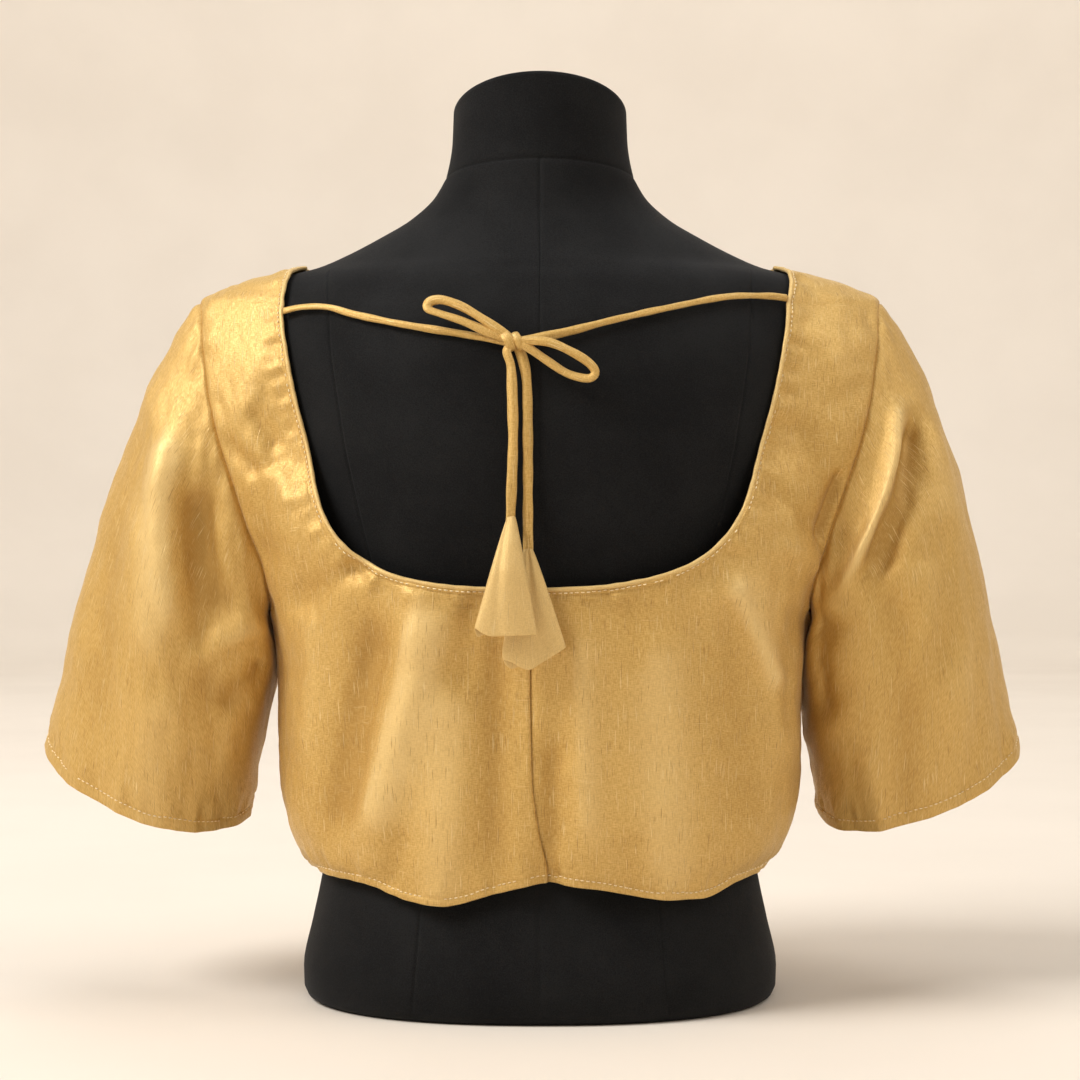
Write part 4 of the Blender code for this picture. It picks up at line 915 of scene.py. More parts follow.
def mesh_object(name, points, faces, uvs, finish):
    """A smooth-shaded object; uvs holds each face's corners in metres along the cloth."""
    mesh = bpy.data.meshes.new(name)
    mesh.from_pydata(np.asarray(points).tolist(), [], faces)
    layer = mesh.uv_layers.new(name="cloth")
    layer.data.foreach_set("uv", np.asarray(uvs, np.float32).ravel())
    work = bmesh.new()
    work.from_mesh(mesh)
    bmesh.ops.recalc_face_normals(work, faces=work.faces)
    work.to_mesh(mesh)
    work.free()
    mesh.shade_smooth()
    mesh.materials.append(finish)
    return link(name, mesh)


def store_fold_shade_and_highlight(made, rise):
    """Keeps how far the folds lift the cloth, for painted highlight on its ridges and painted shade in
    its troughs: 1 on a main ridge, -1 in a trough.
    """
    values = np.zeros(len(made.data.vertices), np.float32)
    values[: 2 * rise.size] = np.tile(rise.ravel(), 2)
    layer = made.data.attributes.new("rise", "FLOAT", "POINT")
    layer.data.foreach_set("value", values)


def grid_quads(rows, columns, closed):
    """Corner rows and columns of each quad of a grid. A closed grid's last column meets its first."""
    across = columns if closed else columns - 1
    r, c = np.meshgrid(np.arange(rows - 1), np.arange(across), indexing="ij")
    r, c = r.ravel(), c.ravel()
    return np.stack([r, r, r + 1, r + 1], 1), np.stack([c, c + 1, c + 1, c], 1)


def borders(rows, columns, closed):
    """The open edges of a grid, as lists of rows and columns in order."""
    if closed:
        round_it = np.arange(columns + 1)
        return [(0 * round_it, round_it), (0 * round_it + rows - 1, round_it)]
    r = np.arange(rows)
    c = np.arange(columns)
    loop_rows = np.concatenate([0 * c[:-1], r[:-1], 0 * c[:0:-1] + rows - 1, r[::-1]])
    loop_columns = np.concatenate([c[:-1], 0 * r[:-1] + columns - 1, c[:0:-1], 0 * r])
    return [(loop_rows, loop_columns)]


def shell(name, outer, normals, uv, finish, closed=False, thickness=CLOTH_THICKNESS):
    """Thin cloth with rounded edges: an outer and an inner grid and a bead between their edges."""
    rows, columns = outer.shape[:2]
    inner = outer - thickness * normals
    points = [outer.reshape(-1, 3), inner.reshape(-1, 3)]
    quad_rows, quad_columns = grid_quads(rows, columns, closed)
    index = quad_rows * columns + quad_columns % columns
    faces = [index, index[:, ::-1] + rows * columns]
    corner_uv = uv[quad_rows, quad_columns]
    uvs = [corner_uv, corner_uv[:, ::-1]]
    start = 2 * rows * columns
    for edge_rows, edge_columns in borders(rows, columns, closed):
        here = (edge_rows, edge_columns % columns)
        inside = np.clip(edge_rows, 1, rows - 2)
        beside = edge_columns % columns if closed else np.clip(edge_columns, 1, columns - 2)
        outward = unit(outer[here] - outer[inside, beside])
        bead = (outer[here] + inner[here]) / 2 + EDGE_BEAD * outward
        points.append(bead[:-1])
        count = len(bead) - 1
        after = np.arange(1, count + 1)
        before = after - 1
        flat = here[0] * columns + here[1]
        middle = start + np.arange(count + 1) % count
        for layer in (0, 1):
            side_index = flat + layer * rows * columns
            faces.append(np.stack([
                side_index[before], side_index[after], middle[after], middle[before],
            ], 1))
            edge_uv = uv[edge_rows, edge_columns]
            uvs.append(np.stack([
                edge_uv[before], edge_uv[after], edge_uv[after], edge_uv[before],
            ], 1))
        start += count
    return mesh_object(
        name, np.concatenate(points), np.concatenate(faces).tolist(), np.concatenate(uvs), finish
    )


def lengths_of(line):
    """How far along a line each of its points is."""
    return np.concatenate([[0], np.cumsum(np.linalg.norm(np.diff(line, axis=0), axis=1))])


def nearest_on(line, points, reach=NEAREST_REACH):
    """Distance of points to a line, and how far along it that is. Points out of reach get reach."""
    lengths = lengths_of(line)
    tree = KDTree(len(line))
    for i, point in enumerate(line):
        tree.insert(Vector(point), i)
    tree.balance()
    flat = points.reshape(-1, 3)
    distance = np.full(len(flat), reach)
    along = np.zeros(len(flat))
    low, high = line.min(0) - reach, line.max(0) + reach
    near = np.flatnonzero(((flat > low) & (flat < high)).all(1))
    found = np.array([tree.find(Vector(flat[i]))[1] for i in near], int)
    for step in (-1, 0):
        start = np.clip(found + step, 0, len(line) - 2)
        run = line[start + 1] - line[start]
        share = np.sum((flat[near] - line[start]) * run, 1) / np.sum(run * run, 1)
        share = np.clip(share, 0, 1)
        far = np.linalg.norm(flat[near] - line[start] - share[:, None] * run, axis=1)
        closer = far < distance[near]
        distance[near[closer]] = far[closer]
        along[near[closer]] = (lengths[start] + share * (lengths[start + 1] - lengths[start]))[closer]
    return distance.reshape(points.shape[:-1]), along.reshape(points.shape[:-1])


def ripples(u, v, seed, wavelength, stretch=1.0, count=RIPPLE_COUNT):
    """A smooth uneven field of about unit height. stretch draws it out along v."""
    random = np.random.default_rng(seed)
    field = 0
    for _ in range(count):
        turn = random.uniform(0, math.pi)
        pace = 2 * math.pi / (wavelength * random.uniform(*RIPPLE_SPREAD))
        start = random.uniform(0, 2 * math.pi)
        field = field + np.sin(pace * (u * math.cos(turn) + v * math.sin(turn) / stretch) + start)
    return field / math.sqrt(count / 2)


def sewn_edge(distance, along, stitch, seed, pucker=NECK_PUCKER):
    """Relief by a sewn edge: the stitched groove, a flat band outside it and puckers inside."""
    groove = -STITCH_GROOVE * bell(distance - stitch, STITCH_GROOVE_WIDTH)
    band = BAND_RISE * smooth_step(stitch + BAND_START, stitch - BAND_END, distance)
    near = bell(distance - stitch - PUCKER_REACH, PUCKER_SPREAD)
    wave = ripples(along, 0 * along, seed, PUCKER_WAVE)
    fine = ripples(along, 0 * along, seed + 50, PUCKER_WAVE * PUCKER_FINE)
    return groove + band + pucker * near * (wave + PUCKER_FINE * fine)


def pulled(off, along, depth, seed, place=SEAM_PULL, width=SEAM_PULL_WIDTH, wave=SEAM_PULL_WAVE):
    """Shallow dimples beside a seam, where its thread draws the cloth in."""
    near = bell(off - place, width) * smooth_step(0, SEAM_PULL_START, off)
    return depth * near * ripples(along, 0 * along, seed, wave)


def dip(distance):
    """A seam's valley."""
    return -SEAM_DIP * np.exp(-distance / SEAM_WIDTH)


def clustered(count, low_scale, high_scale):
    """Places from 0 to 1, closer together by both ends. The scales turn metres into shares."""
    low = np.array(EDGE_STEPS) * low_scale
    high = 1 - np.array(EDGE_STEPS)[::-1] * high_scale
    return np.concatenate([low, np.linspace(low[-1], high[0], count)[1:-1], high])


def with_corners(shares, corners):
    """Shares with a row at each corner, and none beside it that would be too thin."""
    clear = np.min(np.abs(shares[:, None] - np.array(corners)), axis=1) > LEAST_ROW_SHARE / len(shares)
    return np.sort(np.concatenate([shares[clear], corners]))


def panel_grid(side, face):
    """Angle and height of a fine grid on a half panel, and how many rows follow the centre seam."""
    seam_share = SEAM_SHARES[face]
    shares = clustered(PANEL_ROWS, SEAM_PACE, SHOULDER_PACE)
    shares = with_corners(shares, [seam_share, SIDE_SHARE])
    up_seam = shares[shares <= seam_share] / seam_share
    up_neck = (shares[shares > seam_share] - seam_share) / (1 - seam_share)
    neck_angle, neck_height = neckline(side, face, np.concatenate([[0], up_neck]))
    seam_height = hem_height(neck_angle[0])
    seam_height = seam_height + (neck_height[0] - seam_height) * up_seam
    seam_angle = ring_angle(CLOTH, centre_x(face, seam_height), seam_height, face)
    inner_angle = np.concatenate([seam_angle, neck_angle[1:]])
    inner_height = np.concatenate([seam_height, neck_height[1:]])
    up_side = shares[shares <= SIDE_SHARE] / SIDE_SHARE
    up_arm = (shares[shares > SIDE_SHARE] - SIDE_SHARE) / (1 - SIDE_SHARE)
    arm_angle, arm_height = armhole(side, face, np.concatenate([[0], up_arm]))
    side_height = hem_height(arm_angle[0])
    side_height = side_height + (UNDERARM - side_height) * up_side
    outer_angle = np.concatenate([0 * up_side + arm_angle[0], arm_angle[1:]])
    outer_height = np.concatenate([side_height, arm_height[1:]])
    inner_points = ring_point(CLOTH, inner_angle, inner_height)
    outer_points = ring_point(CLOTH, outer_angle, outer_height)
    spans = np.linalg.norm(inner_points - outer_points, axis=1)
    across = np.stack([clustered(PANEL_COLUMNS, 1 / span, 1 / span) for span in spans])
    fall = 1 - (1 - across) ** ROW_FALL
    angle = inner_angle[:, None] + (outer_angle - inner_angle)[:, None] * across
    height = inner_height[:, None] + (outer_height - inner_height)[:, None] * fall
    near_hem = np.clip(1 - shares / seam_share, 0, 1) ** HEM_EASE
    height += near_hem[:, None] * (hem_height(angle[0]) - height[0])
    return angle, height, len(up_seam) - 1, len(up_side) - 1


def edge_directions(line, normals, inside):
    """Directions on the cloth, straight in from an edge."""
    inward = unit(np.cross(unit(np.gradient(line, axis=0)), normals))
    return inward * np.sign(np.sum(inward * (inside - line), axis=-1, keepdims=True))


def grain(angle, height):
    """Metres round and up the body at each place, so that the weave runs straight up it."""
    angles = np.linspace(-math.pi, math.pi, GRAIN_STEPS[0])
    heights = np.linspace(CLOTH_RINGS[0][0], CLOTH_RINGS[-1][0], GRAIN_STEPS[1])
    rings = ring_point(CLOTH, angles[None] + 0 * heights[:, None], heights[:, None] + 0 * angles)
    round_it = np.cumsum(np.linalg.norm(np.diff(rings, axis=1, prepend=rings[:, :1]), axis=2), 1)
    up_it = np.cumsum(np.linalg.norm(np.diff(rings, axis=0, prepend=rings[:1]), axis=2), 0)
    centre = np.argmin(np.abs(angles + math.pi / 2))
    round_it = round_it - round_it[:, centre : centre + 1]
    column = (angle - angles[0]) / (angles[1] - angles[0])
    row = (height - heights[0]) / (heights[1] - heights[0])
    left = np.clip(column.astype(int), 0, GRAIN_STEPS[0] - 2)
    low = np.clip(row.astype(int), 0, GRAIN_STEPS[1] - 2)
    places = []
    for field in (round_it, up_it):
        under = field[low, left] + (column - left) * (field[low, left + 1] - field[low, left])
        over = field[low + 1, left]
        over = over + (column - left) * (field[low + 1, left + 1] - field[low + 1, left])
        places.append(under + (row - low) * (over - under))
    return np.stack(places, axis=-1)


def seam_normals(side, count):
    """Round the armhole: the direction that the panels and the sleeve share."""
    angle, height = armhole_loop(side, count)
    body = normal_of(torso, angle, height)
    edge = torso(angle, height)
    turn = np.linspace(0, 2 * math.pi, 2 * count, endpoint=False)
    t = np.linspace(0, 1, NORMAL_ROWS)
    points = sleeve_surface(side, edge[None], turn[None] + 0 * t[:, None], t[:, None] + 0 * turn)
    return unit(body + tube_normals(points, side)[0])


def share_armhole(side, face, points, normals):
    """Turns a panel's normals along the armhole to the ones it shares with the sleeve."""
    count = SLEEVE_HALF_COLUMNS
    shared = seam_normals(side, count)
    order = np.arange(count, -1, -1)
    if face == "front":
        order = np.arange(count, 2 * count + 1) % (2 * count)
    rows = lengths_of(points)
    steps = np.linspace(0, rows[-1], count + 1)
    picked = [np.interp(rows, steps, shared[order, i]) for i in range(3)]
    normals[:] = unit(np.stack(picked, -1))


def panel_relief(side, face, points, normals, uv, seam_end, side_end):
    """What creases, puckers and seams add to a panel, its fold height for painted highlight on ridges
    and painted shade in troughs, and its centre and neck.
    """
    hem, hem_along = nearest_on(points[0], points)
    neck, neck_along = nearest_on(points[seam_end:, 0], points)
    centre, centre_along = nearest_on(points[: seam_end + 1, 0], points)
    flank, flank_along = nearest_on(points[: side_end + 1, -1], points)
    armhole_off, arm_along = nearest_on(points[side_end:, -1], points)
    shoulder, shoulder_along = nearest_on(points[-1], points)
    sewn = np.minimum.reduce([centre, flank, armhole_off, shoulder])
    seed = SEEDS[(side, face)]
    free = smooth_step(0.0, SEAM_CALM, sewn)
    creases = free * TORSO_CREASE_GAIN * fold_height(CREASES, "torso", points, normals)
    # Fold height, kept for painted shade in troughs and painted highlight on ridges
    rise = (creases + fold_height(FOLDS, "torso", points, normals)) / MAIN_FOLD
    relief = creases
    for i, (size, length, stretch) in enumerate(TORSO_RIPPLES):
        relief = relief + free * size * ripples(uv[..., 0], uv[..., 1], seed + i, length, stretch)
    for off, along, depth in (
        (centre, centre_along, CENTRE_PULL),
        (flank, flank_along, CENTRE_PULL),
        (armhole_off, arm_along, ARMHOLE_PULL),
        (shoulder, shoulder_along, SHOULDER_PULL),
    ):
        relief += pulled(off, along, depth, seed + 7)
    seams = dip(sewn)
    if face == "back":
        seams += np.where(side < 0, LAP_RISE, -LAP_RISE) * bell(centre, LAP_WIDTH)
    else:
        relief += fold_height(BUST_DARTS, "torso", points, normals)
        relief += sewn_edge(centre, centre_along, PLACKET_STITCH, seed + 11, PLACKET_PUCKER)
    hem_fade = smooth_step(0, SEWING_FADE, sewn)
    relief += hem_fade * sewn_edge(hem, hem_along, HEM_STITCH, seed + 3, HEM_PUCKER)
    neck_fade = smooth_step(0, SEWING_FADE, shoulder)
    relief += neck_fade * sewn_edge(neck, neck_along, NECK_STITCH, seed + 5)
    return relief + seams, rise, centre, (neck, neck_along)


def panel(side, face, finish):
    """A half panel of the body as creased cloth. Returns it with the lines that carry stitches."""
    angle, height, seam_end, side_end = panel_grid(side, face)
    points = torso(angle, height)
    normals = normal_of(torso, angle, height)
    share_armhole(side, face, points[side_end:, -1], normals[side_end:, -1])
    uv = grain(angle, height)
    relief, rise, centre, (neck, neck_along) = panel_relief(
        side, face, points, normals, uv, seam_end, side_end
    )
    edge = points[seam_end:, 0]
    below = points[seam_end:, 1] + points[seam_end - 1 : -1, 0] - edge
    inward = edge_directions(edge, normals[seam_end:, 0], below)
    inward[-1] = unit(points[-1, 1] - points[-1, 0])
    places = lengths_of(edge)
    pull = np.stack([np.interp(neck_along, places, inward[:, i]) for i in range(3)], -1)
    reach = np.clip(1 - neck / CUT_FADE, 0, 1) ** 2
    outer = points + NECK_CUT_BACK * reach[..., None] * pull
    outer += normals * relief[..., None]
    room, away = clearance(outer)
    outer += away * np.maximum(LEAST_ROOM - room, 0)[..., None]
    if face == "back" and side < 0:
        outer[..., 0] += LAP_REACH * bell(centre, 2 * LAP_WIDTH)
    piece = shell(f"{face}_panel_{HANDS[side]}", outer, normals, uv, finish)
    store_fold_shade_and_highlight(piece, rise)
    up_hem = edge_directions(points[0], normals[0], points[2])
    lines = [
        (points[0], up_hem, normals[0], HEM_STITCH),
        (edge, inward, normals[seam_end:, 0], NECK_STITCH),
    ]
    if face == "front":
        middle = slice(1, seam_end + 1)
        toward = edge_directions(points[middle, 0], normals[middle, 0], points[middle, 1])
        lines.append((points[middle, 0], toward, normals[middle, 0], PLACKET_STITCH))
    return piece, lines, (edge, inward, normals[seam_end:, 0])


def sleeve_form(side, cloth):
    """A sleeve's plain points, its points with the solid's folds and tuck, and the folds' lift."""
    count = SLEEVE_HALF_COLUMNS
    edge = torso(*armhole_loop(side, count))
    turn = np.linspace(0, 2 * math.pi, 2 * count, endpoint=False)
    t = clustered(SLEEVE_ROWS, 1 / SLEEVE_LENGTH, 1 / SLEEVE_LENGTH)
    turns = turn[None] + 0 * t[:, None]
    plain = sleeve_surface(side, edge[None], turns, t[:, None] + 0 * turn)
    normals = tube_normals(plain, side)
    lift = fold_height(FOLDS, cloth, plain, normals)
    lift *= smooth_step(0, SLEEVE_FOLD_START, t)[:, None]
    points = plain + normals * lift[..., None]
    inner = smooth_step(0, TUCK_FACING, -side * normals[..., 0])
    tuck = SLEEVE_TUCK * bell(plain[..., 2] - TUCK_HEIGHT, TUCK_SPREAD)
    tuck -= SLEEVE_STAND_OFF * smooth_step(*STAND_OFF_HEIGHTS, plain[..., 2])
    points[..., 0] -= side * inner * tuck * smooth_step(0.0, TUCK_START, t)[:, None]
    return plain, points, lift


def sleeve(side, finish):
    """A creased sleeve. Returns it with its cuff's stitch line."""
    cloth = f"{HANDS[side]}_sleeve"
    count = SLEEVE_HALF_COLUMNS
    plain, points, lift = sleeve_form(side, cloth)
    normals = tube_normals(points, side)
    normals[0] = seam_normals(side, count)

    closed_ring = np.concatenate([points, points[:, :1]], axis=1)
    down = np.cumsum(np.linalg.norm(np.diff(points, axis=0, prepend=points[:1]), axis=2), axis=0)
    up = down[-1] - down
    around = np.cumsum(
        np.linalg.norm(np.diff(closed_ring, axis=1, prepend=closed_ring[:, :1]), axis=2), axis=1
    )
    underarm = np.abs(around[:, :-1] - around[:, count : count + 1])
    seed = SEEDS[(side, "sleeve")]
    free = smooth_step(0.0, HEAD_CALM, down) * smooth_step(0.0, UNDERARM_CALM, underarm)
    across = plain[..., 0] * SLEEVE_RIPPLE_WIDTH
    creases = free * SLEEVE_CREASE_GAIN * fold_height(CREASES, cloth, points, normals)
    # Fold height, kept for painted shade in troughs and painted highlight on ridges
    rise = (creases + lift) / MAIN_FOLD
    relief = creases
    for i, (size, length, stretch) in enumerate(SLEEVE_RIPPLES):
        field = ripples(across, plain[..., 2] + i * plain[..., 1], seed + i, length, stretch)
        relief = relief + free * size * field
    relief += pulled(
        down, around[0, :-1][None] + 0 * down, HEAD_PULL, seed + 7,
        HEAD_PULL_PLACE, HEAD_PULL_WIDTH, HEAD_PULL_WAVE,
    )
    relief += pulled(underarm, down, UNDERARM_PULL, seed + 8)
    relief += dip(down) + dip(underarm)
    relief += sewn_edge(up, around[-1, :-1][None] + 0 * up, CUFF_STITCH, seed + 3, HEM_PUCKER)
    outer = points + normals * relief[..., None]
    down_uv = np.concatenate([down, down[:, :1]], axis=1)
    uv = np.stack([around, down_uv], axis=-1)
    piece = shell(f"sleeve_cloth_{HANDS[side]}", outer, normals, uv, finish, closed=True)
    store_fold_shade_and_highlight(piece, rise)
    upward = unit(points[-3] - points[-1])
    return piece, [(points[-1], upward, normals[-1], CUFF_STITCH)]


def tube(name, line, up, section, finish, closed=False, turned=0.0):
    """A tube along a line. section(angle, place) gives half sizes across and up; up is outward."""
    line = np.asarray(line, float)
    count = len(line)
    if closed:
        tangent = unit(np.roll(line, -1, axis=0) - np.roll(line, 1, axis=0))
    else:
        tangent = unit(np.gradient(line, axis=0))
    across = unit(np.cross(tangent, up))
    over = np.cross(across, tangent)
    spin = np.broadcast_to(turned, count)[:, None]
    across, over = (
        across * np.cos(spin) + over * np.sin(spin),
        over * np.cos(spin) - across * np.sin(spin),
    )
    turn = np.linspace(0, 2 * math.pi, CORD_SIDES, endpoint=False)
    places = lengths_of(line)
    wide, high = section(turn[None] + 0 * places[:, None], places[:, None] + 0 * turn[None])
    points = (
        line[:, None]
        + across[:, None] * (wide * np.cos(turn)[None])[..., None]
        + over[:, None] * (high * np.sin(turn)[None])[..., None]
    )
    girth = 2 * math.pi * np.mean(wide + high) / 2
    u = np.linspace(0, girth, CORD_SIDES + 1)[None] + 0 * places[:, None]
    v = places[:, None] + 0 * u
    rows = np.arange(count if closed else count - 1)
    r, c = (grid.ravel() for grid in np.meshgrid(rows, np.arange(CORD_SIDES), indexing="ij"))
    here = r * CORD_SIDES
    after = (r + 1) % count * CORD_SIDES
    beside = (c + 1) % CORD_SIDES
    faces = np.stack([here + c, here + beside, after + beside, after + c], 1).tolist()
    v_after = v[r, c] + CORD_STEP
    uvs = np.stack([
        np.stack([u[r, c], v[r, c]], -1),
        np.stack([u[r, c + 1], v[r, c]], -1),
        np.stack([u[r, c + 1], v_after], -1),
        np.stack([u[r, c], v_after], -1),
    ], 1).reshape(-1, 2)
    if not closed:
        for ring in (0, count - 1):
            faces.append([ring * CORD_SIDES + i for i in range(CORD_SIDES)])
            cap = np.stack([points[ring, :, 0], points[ring, :, 2]], -1)
            uvs = np.concatenate([uvs, cap])
    return mesh_object(name, points.reshape(-1, 3), faces, uvs, finish)


def on_form(x, z, off):
    """A cord's middle at a place on the form's back, clear of it, and the outward direction."""
    x, z, off = (np.asarray(v, float) for v in (x, z, off))
    angle = ring_angle(FORM, x, z, "back")
    normals = normal_of(lambda a, b: ring_point(FORM, a, b), angle, z)
    return ring_point(FORM, angle, z) + normals * (CORD_RADIUS + off)[..., None], normals


def smooth_route(points):
    """Close points on a smooth curve through a cord's own points."""
    points = np.asarray(points, float)
    ends = np.concatenate([[2 * points[0] - points[1]], points, [2 * points[-1] - points[-2]]])
    t = np.linspace(0, 1, ROUTE_STEPS, endpoint=False)[:, None]
    dense = []
    for a, b, c, d in zip(ends, ends[1:], ends[2:], ends[3:]):
        square = a - 2.5 * b + 2 * c - d / 2
        cube = 1.5 * (b - c) + (d - a) / 2
        dense.append(b + t * (c - a) / 2 + t**2 * square + t**3 * cube)
    return np.concatenate(dense + [points[-1:]])


def evenly(dense, step):
    """Points at equal steps of length along a line."""
    lengths = lengths_of(dense)
    places = np.linspace(0, lengths[-1], max(3, round(lengths[-1] / step) + 1))
    return np.stack([np.interp(places, lengths, dense[:, i]) for i in range(3)], axis=1)


def tie_start(name, toward):
    """Where a tie leaves the neck edge on its way toward its next place."""
    side = -1 if name == "left" else 1
    angle, height = neckline(side, "back", np.linspace(0, 1, 200))
    i = np.argmin(np.abs(height - TIE_HEIGHTS[name]))
    edge = torso(angle[i : i + 1], height[i : i + 1])[0]
    return edge + unit(toward - edge) * TIE_START_GAP


def flat_cord(phase):
    """The section of a turned strip of cloth: an oval with soft lengthwise ridges."""
    places, widths = zip(*CORD_HALF_WIDTHS)

    (broad, slow), (fine, fast) = CORD_SWELLS
    coarse, small = CORD_RIDGES

    def section(turn, place):
        swell = 1 + broad * np.sin(place * slow + phase) + fine * np.sin(place * fast + 2 * phase)
        ridge = 1 + coarse * np.cos(3 * turn + phase) + small * np.cos(5 * turn + place * CORD_TWIST)
        return np.interp(place, places, widths) * swell, CORD_HALF_HEIGHT * swell * ridge
    return section


def add_cord(name, finish):
    """A whole tie: from the neck edge through the knot, round its bow loop and down its tail."""
    tie, bow, tail = (on_form(*np.array(rows[name]).T)[0] for rows in (TIES, BOWS, TAILS))
    middle = on_form(*np.array([KNOT_MIDDLE]).T)[0][0]
    start = tie_start(name, tie[0])
    route = np.concatenate([[start], tie, [middle], bow, [middle], tail])
    line = evenly(smooth_route(route), CORD_STEP)
    places = lengths_of(line)
    angle = ring_angle(FORM, line[:, 0], line[:, 2], "back")
    up = normal_of(lambda a, b: ring_point(FORM, a, b), angle, line[:, 2])
    phase = CORD_PHASES[name]
    (most, slow), (least, fast) = CORD_LEANS
    lean = most * np.sin(places * slow + phase) + least * np.sin(places * fast + phase)
    made = tube(f"tie_cord_{name}", line, up, flat_cord(phase), finish, turned=lean)
    return made, line, start


def wrap_section(half_width, phase):
    """The section of one turn of the knot: flat cloth with soft ridges."""
    def section(turn, place):
        ridge = 1 + KNOT_RIDGE * np.cos(3 * turn + phase)
        return half_width * (1 + 0 * turn), KNOT_HALF_THICK * ridge
    return section


def add_knot(finish):
    """The bow's knot: two oval wraps that lean, the left one broader."""
    (middle,), (up,) = on_form(*np.array([KNOT_MIDDLE]).T)
    wraps = []
    turn = np.linspace(0, 2 * math.pi, KNOT_POINTS, endpoint=False)
    side = np.array([1.0, 0.0, 0.0])
    rise = np.cross(side, up)
    for i, (x, lean, half_width, half_depth, half_height) in enumerate(KNOT_WRAPS):
        place = middle + side * x
        line = (
            place
            + np.sin(turn)[:, None] * (rise * half_height + side * lean)
            + np.cos(turn)[:, None] * up * half_depth
        )
        outward = unit(line - place)
        section = wrap_section(half_width, i * KNOT_PHASE)
        wraps.append(tube(f"knot_wrap_{i}", line, outward, section, finish, closed=True))
    return join("bow_knot", wraps)


def join(name, objects):
    """One object from several, keeping their materials."""
    bpy.ops.object.select_all(action="DESELECT")
    for piece in objects:
        piece.select_set(True)
    bpy.context.view_layer.objects.active = objects[0]
    bpy.ops.object.join()
    objects[0].name = name
    return objects[0]


def add_pendant(name, finish):
    """Folded cloth that fans out below a tail's end, open at the bottom, with crisp creases."""
    shape = PENDANT_SHAPES[name]
    rows = np.linspace(0, 1, PENDANT_ROWS)[:, None]
    half = PENDANT_HALF_COLUMNS
    share = np.linspace(0, 1, half + 1)
    loop = np.concatenate([share, share[-2:0:-1]])
    front = np.concatenate([0 * share + 1, 0 * share[-2:0:-1] - 1])[None]
    ends = np.array(shape["bottom"])
    bottom_x = np.interp(loop, ends[:, 0], ends[:, 1])[None]
    gape = bell(loop - shape["gape_at"], PENDANT_GAPE_WIDTH)[None]
    front_rise = PENDANT_FRONT_GAPE * PENDANT_GAPE * gape
    back_rise = PENDANT_BACK_RISE - PENDANT_GAPE * gape
    bottom_z = np.interp(loop, ends[:, 0], ends[:, 2])[None]
    bottom_z = bottom_z + np.where(front < 0, back_rise, front_rise)
    top_x = shape["top"][0] + (shape["top"][1] - shape["top"][0]) * loop[None]
    flare = rows ** shape["flare"]
    x = top_x + (bottom_x - top_x) * flare
    z = shape["top"][2] + (bottom_z - shape["top"][2]) * rows
    bulge = np.sin(math.pi * loop)[None] ** PENDANT_FULLNESS
    dome = shape["dome"] * np.sin(math.pi * (PENDANT_DOME_START + PENDANT_DOME_REACH * rows))
    middle = np.interp(rows, PENDANT_LEVELS, shape["y"])
    crease_at = shape["crease_at"] + PENDANT_CREASE_LEAN * (rows - 0.5)
    crease = shape["crease"] * bell(loop[None] - crease_at, PENDANT_CREASE_WIDTH)
    open_it = PENDANT_TOP_OPENING + PENDANT_OPENING * rows
    y = middle - front * bulge * (dome * (front > 0) + open_it) + np.where(front > 0, crease, 0)
    points = np.stack([x + 0 * y, y, z + 0 * y], -1)
    round_it = np.roll(points, -1, axis=1) - np.roll(points, 1, axis=1)
    normals = unit(np.cross(np.gradient(points, axis=0), round_it))
    if normals[PENDANT_ROWS // 2, half // 2, 1] > 0:
        normals = -normals
    u = lengths_of(points[-1])
    u = np.concatenate([u, [2 * u[-1] - u[-2]]])[None] + 0 * rows
    uv = np.stack([u, (shape["top"][2] - shape["bottom"][0][2]) * rows + 0 * u], -1)
    piece = shell(f"pendant_cloth_{name}", points, normals, uv, finish, True, PENDANT_THICKNESS)
    piece.modifiers.new("smooth", "SUBSURF").levels = 1
    return piece


def add_neck_roll(edges, finish):
    """The rolled neck edge, from the front's left half round the back to the right."""
    lines = []
    for (edge, inward, normals), side, face, forward in edges:
        line = edge + inward * BINDING_RADIUS - BINDING_SINK * normals
        if face == "front":
            line[0] += (side * SEAM_GAP, 0, 0)
        lines.append((line, normals) if forward else (line[::-1], normals[::-1]))
    line = np.concatenate([lines[0][0]] + [line[1:] for line, _ in lines[1:]])
    up = np.concatenate([lines[0][1]] + [up[1:] for _, up in lines[1:]])
    places = lengths_of(line)
    even = np.linspace(0, places[-1], round(places[-1] / ROLL_STEP))
    line = np.stack([np.interp(even, places, line[:, i]) for i in range(3)], 1)
    up = unit(np.stack([np.interp(even, places, up[:, i]) for i in range(3)], 1))

    def section(turn, place):
        field = ripples(place, 0 * place, ROLL_SEED, ROLL_WAVE)
        swell = 1 + ROLL_SWELL * field + ROLL_OVAL * np.cos(2 * turn)
        return BINDING_RADIUS * swell, BINDING_RADIUS * swell
    return tube("neck_roll", line, up, section, finish)


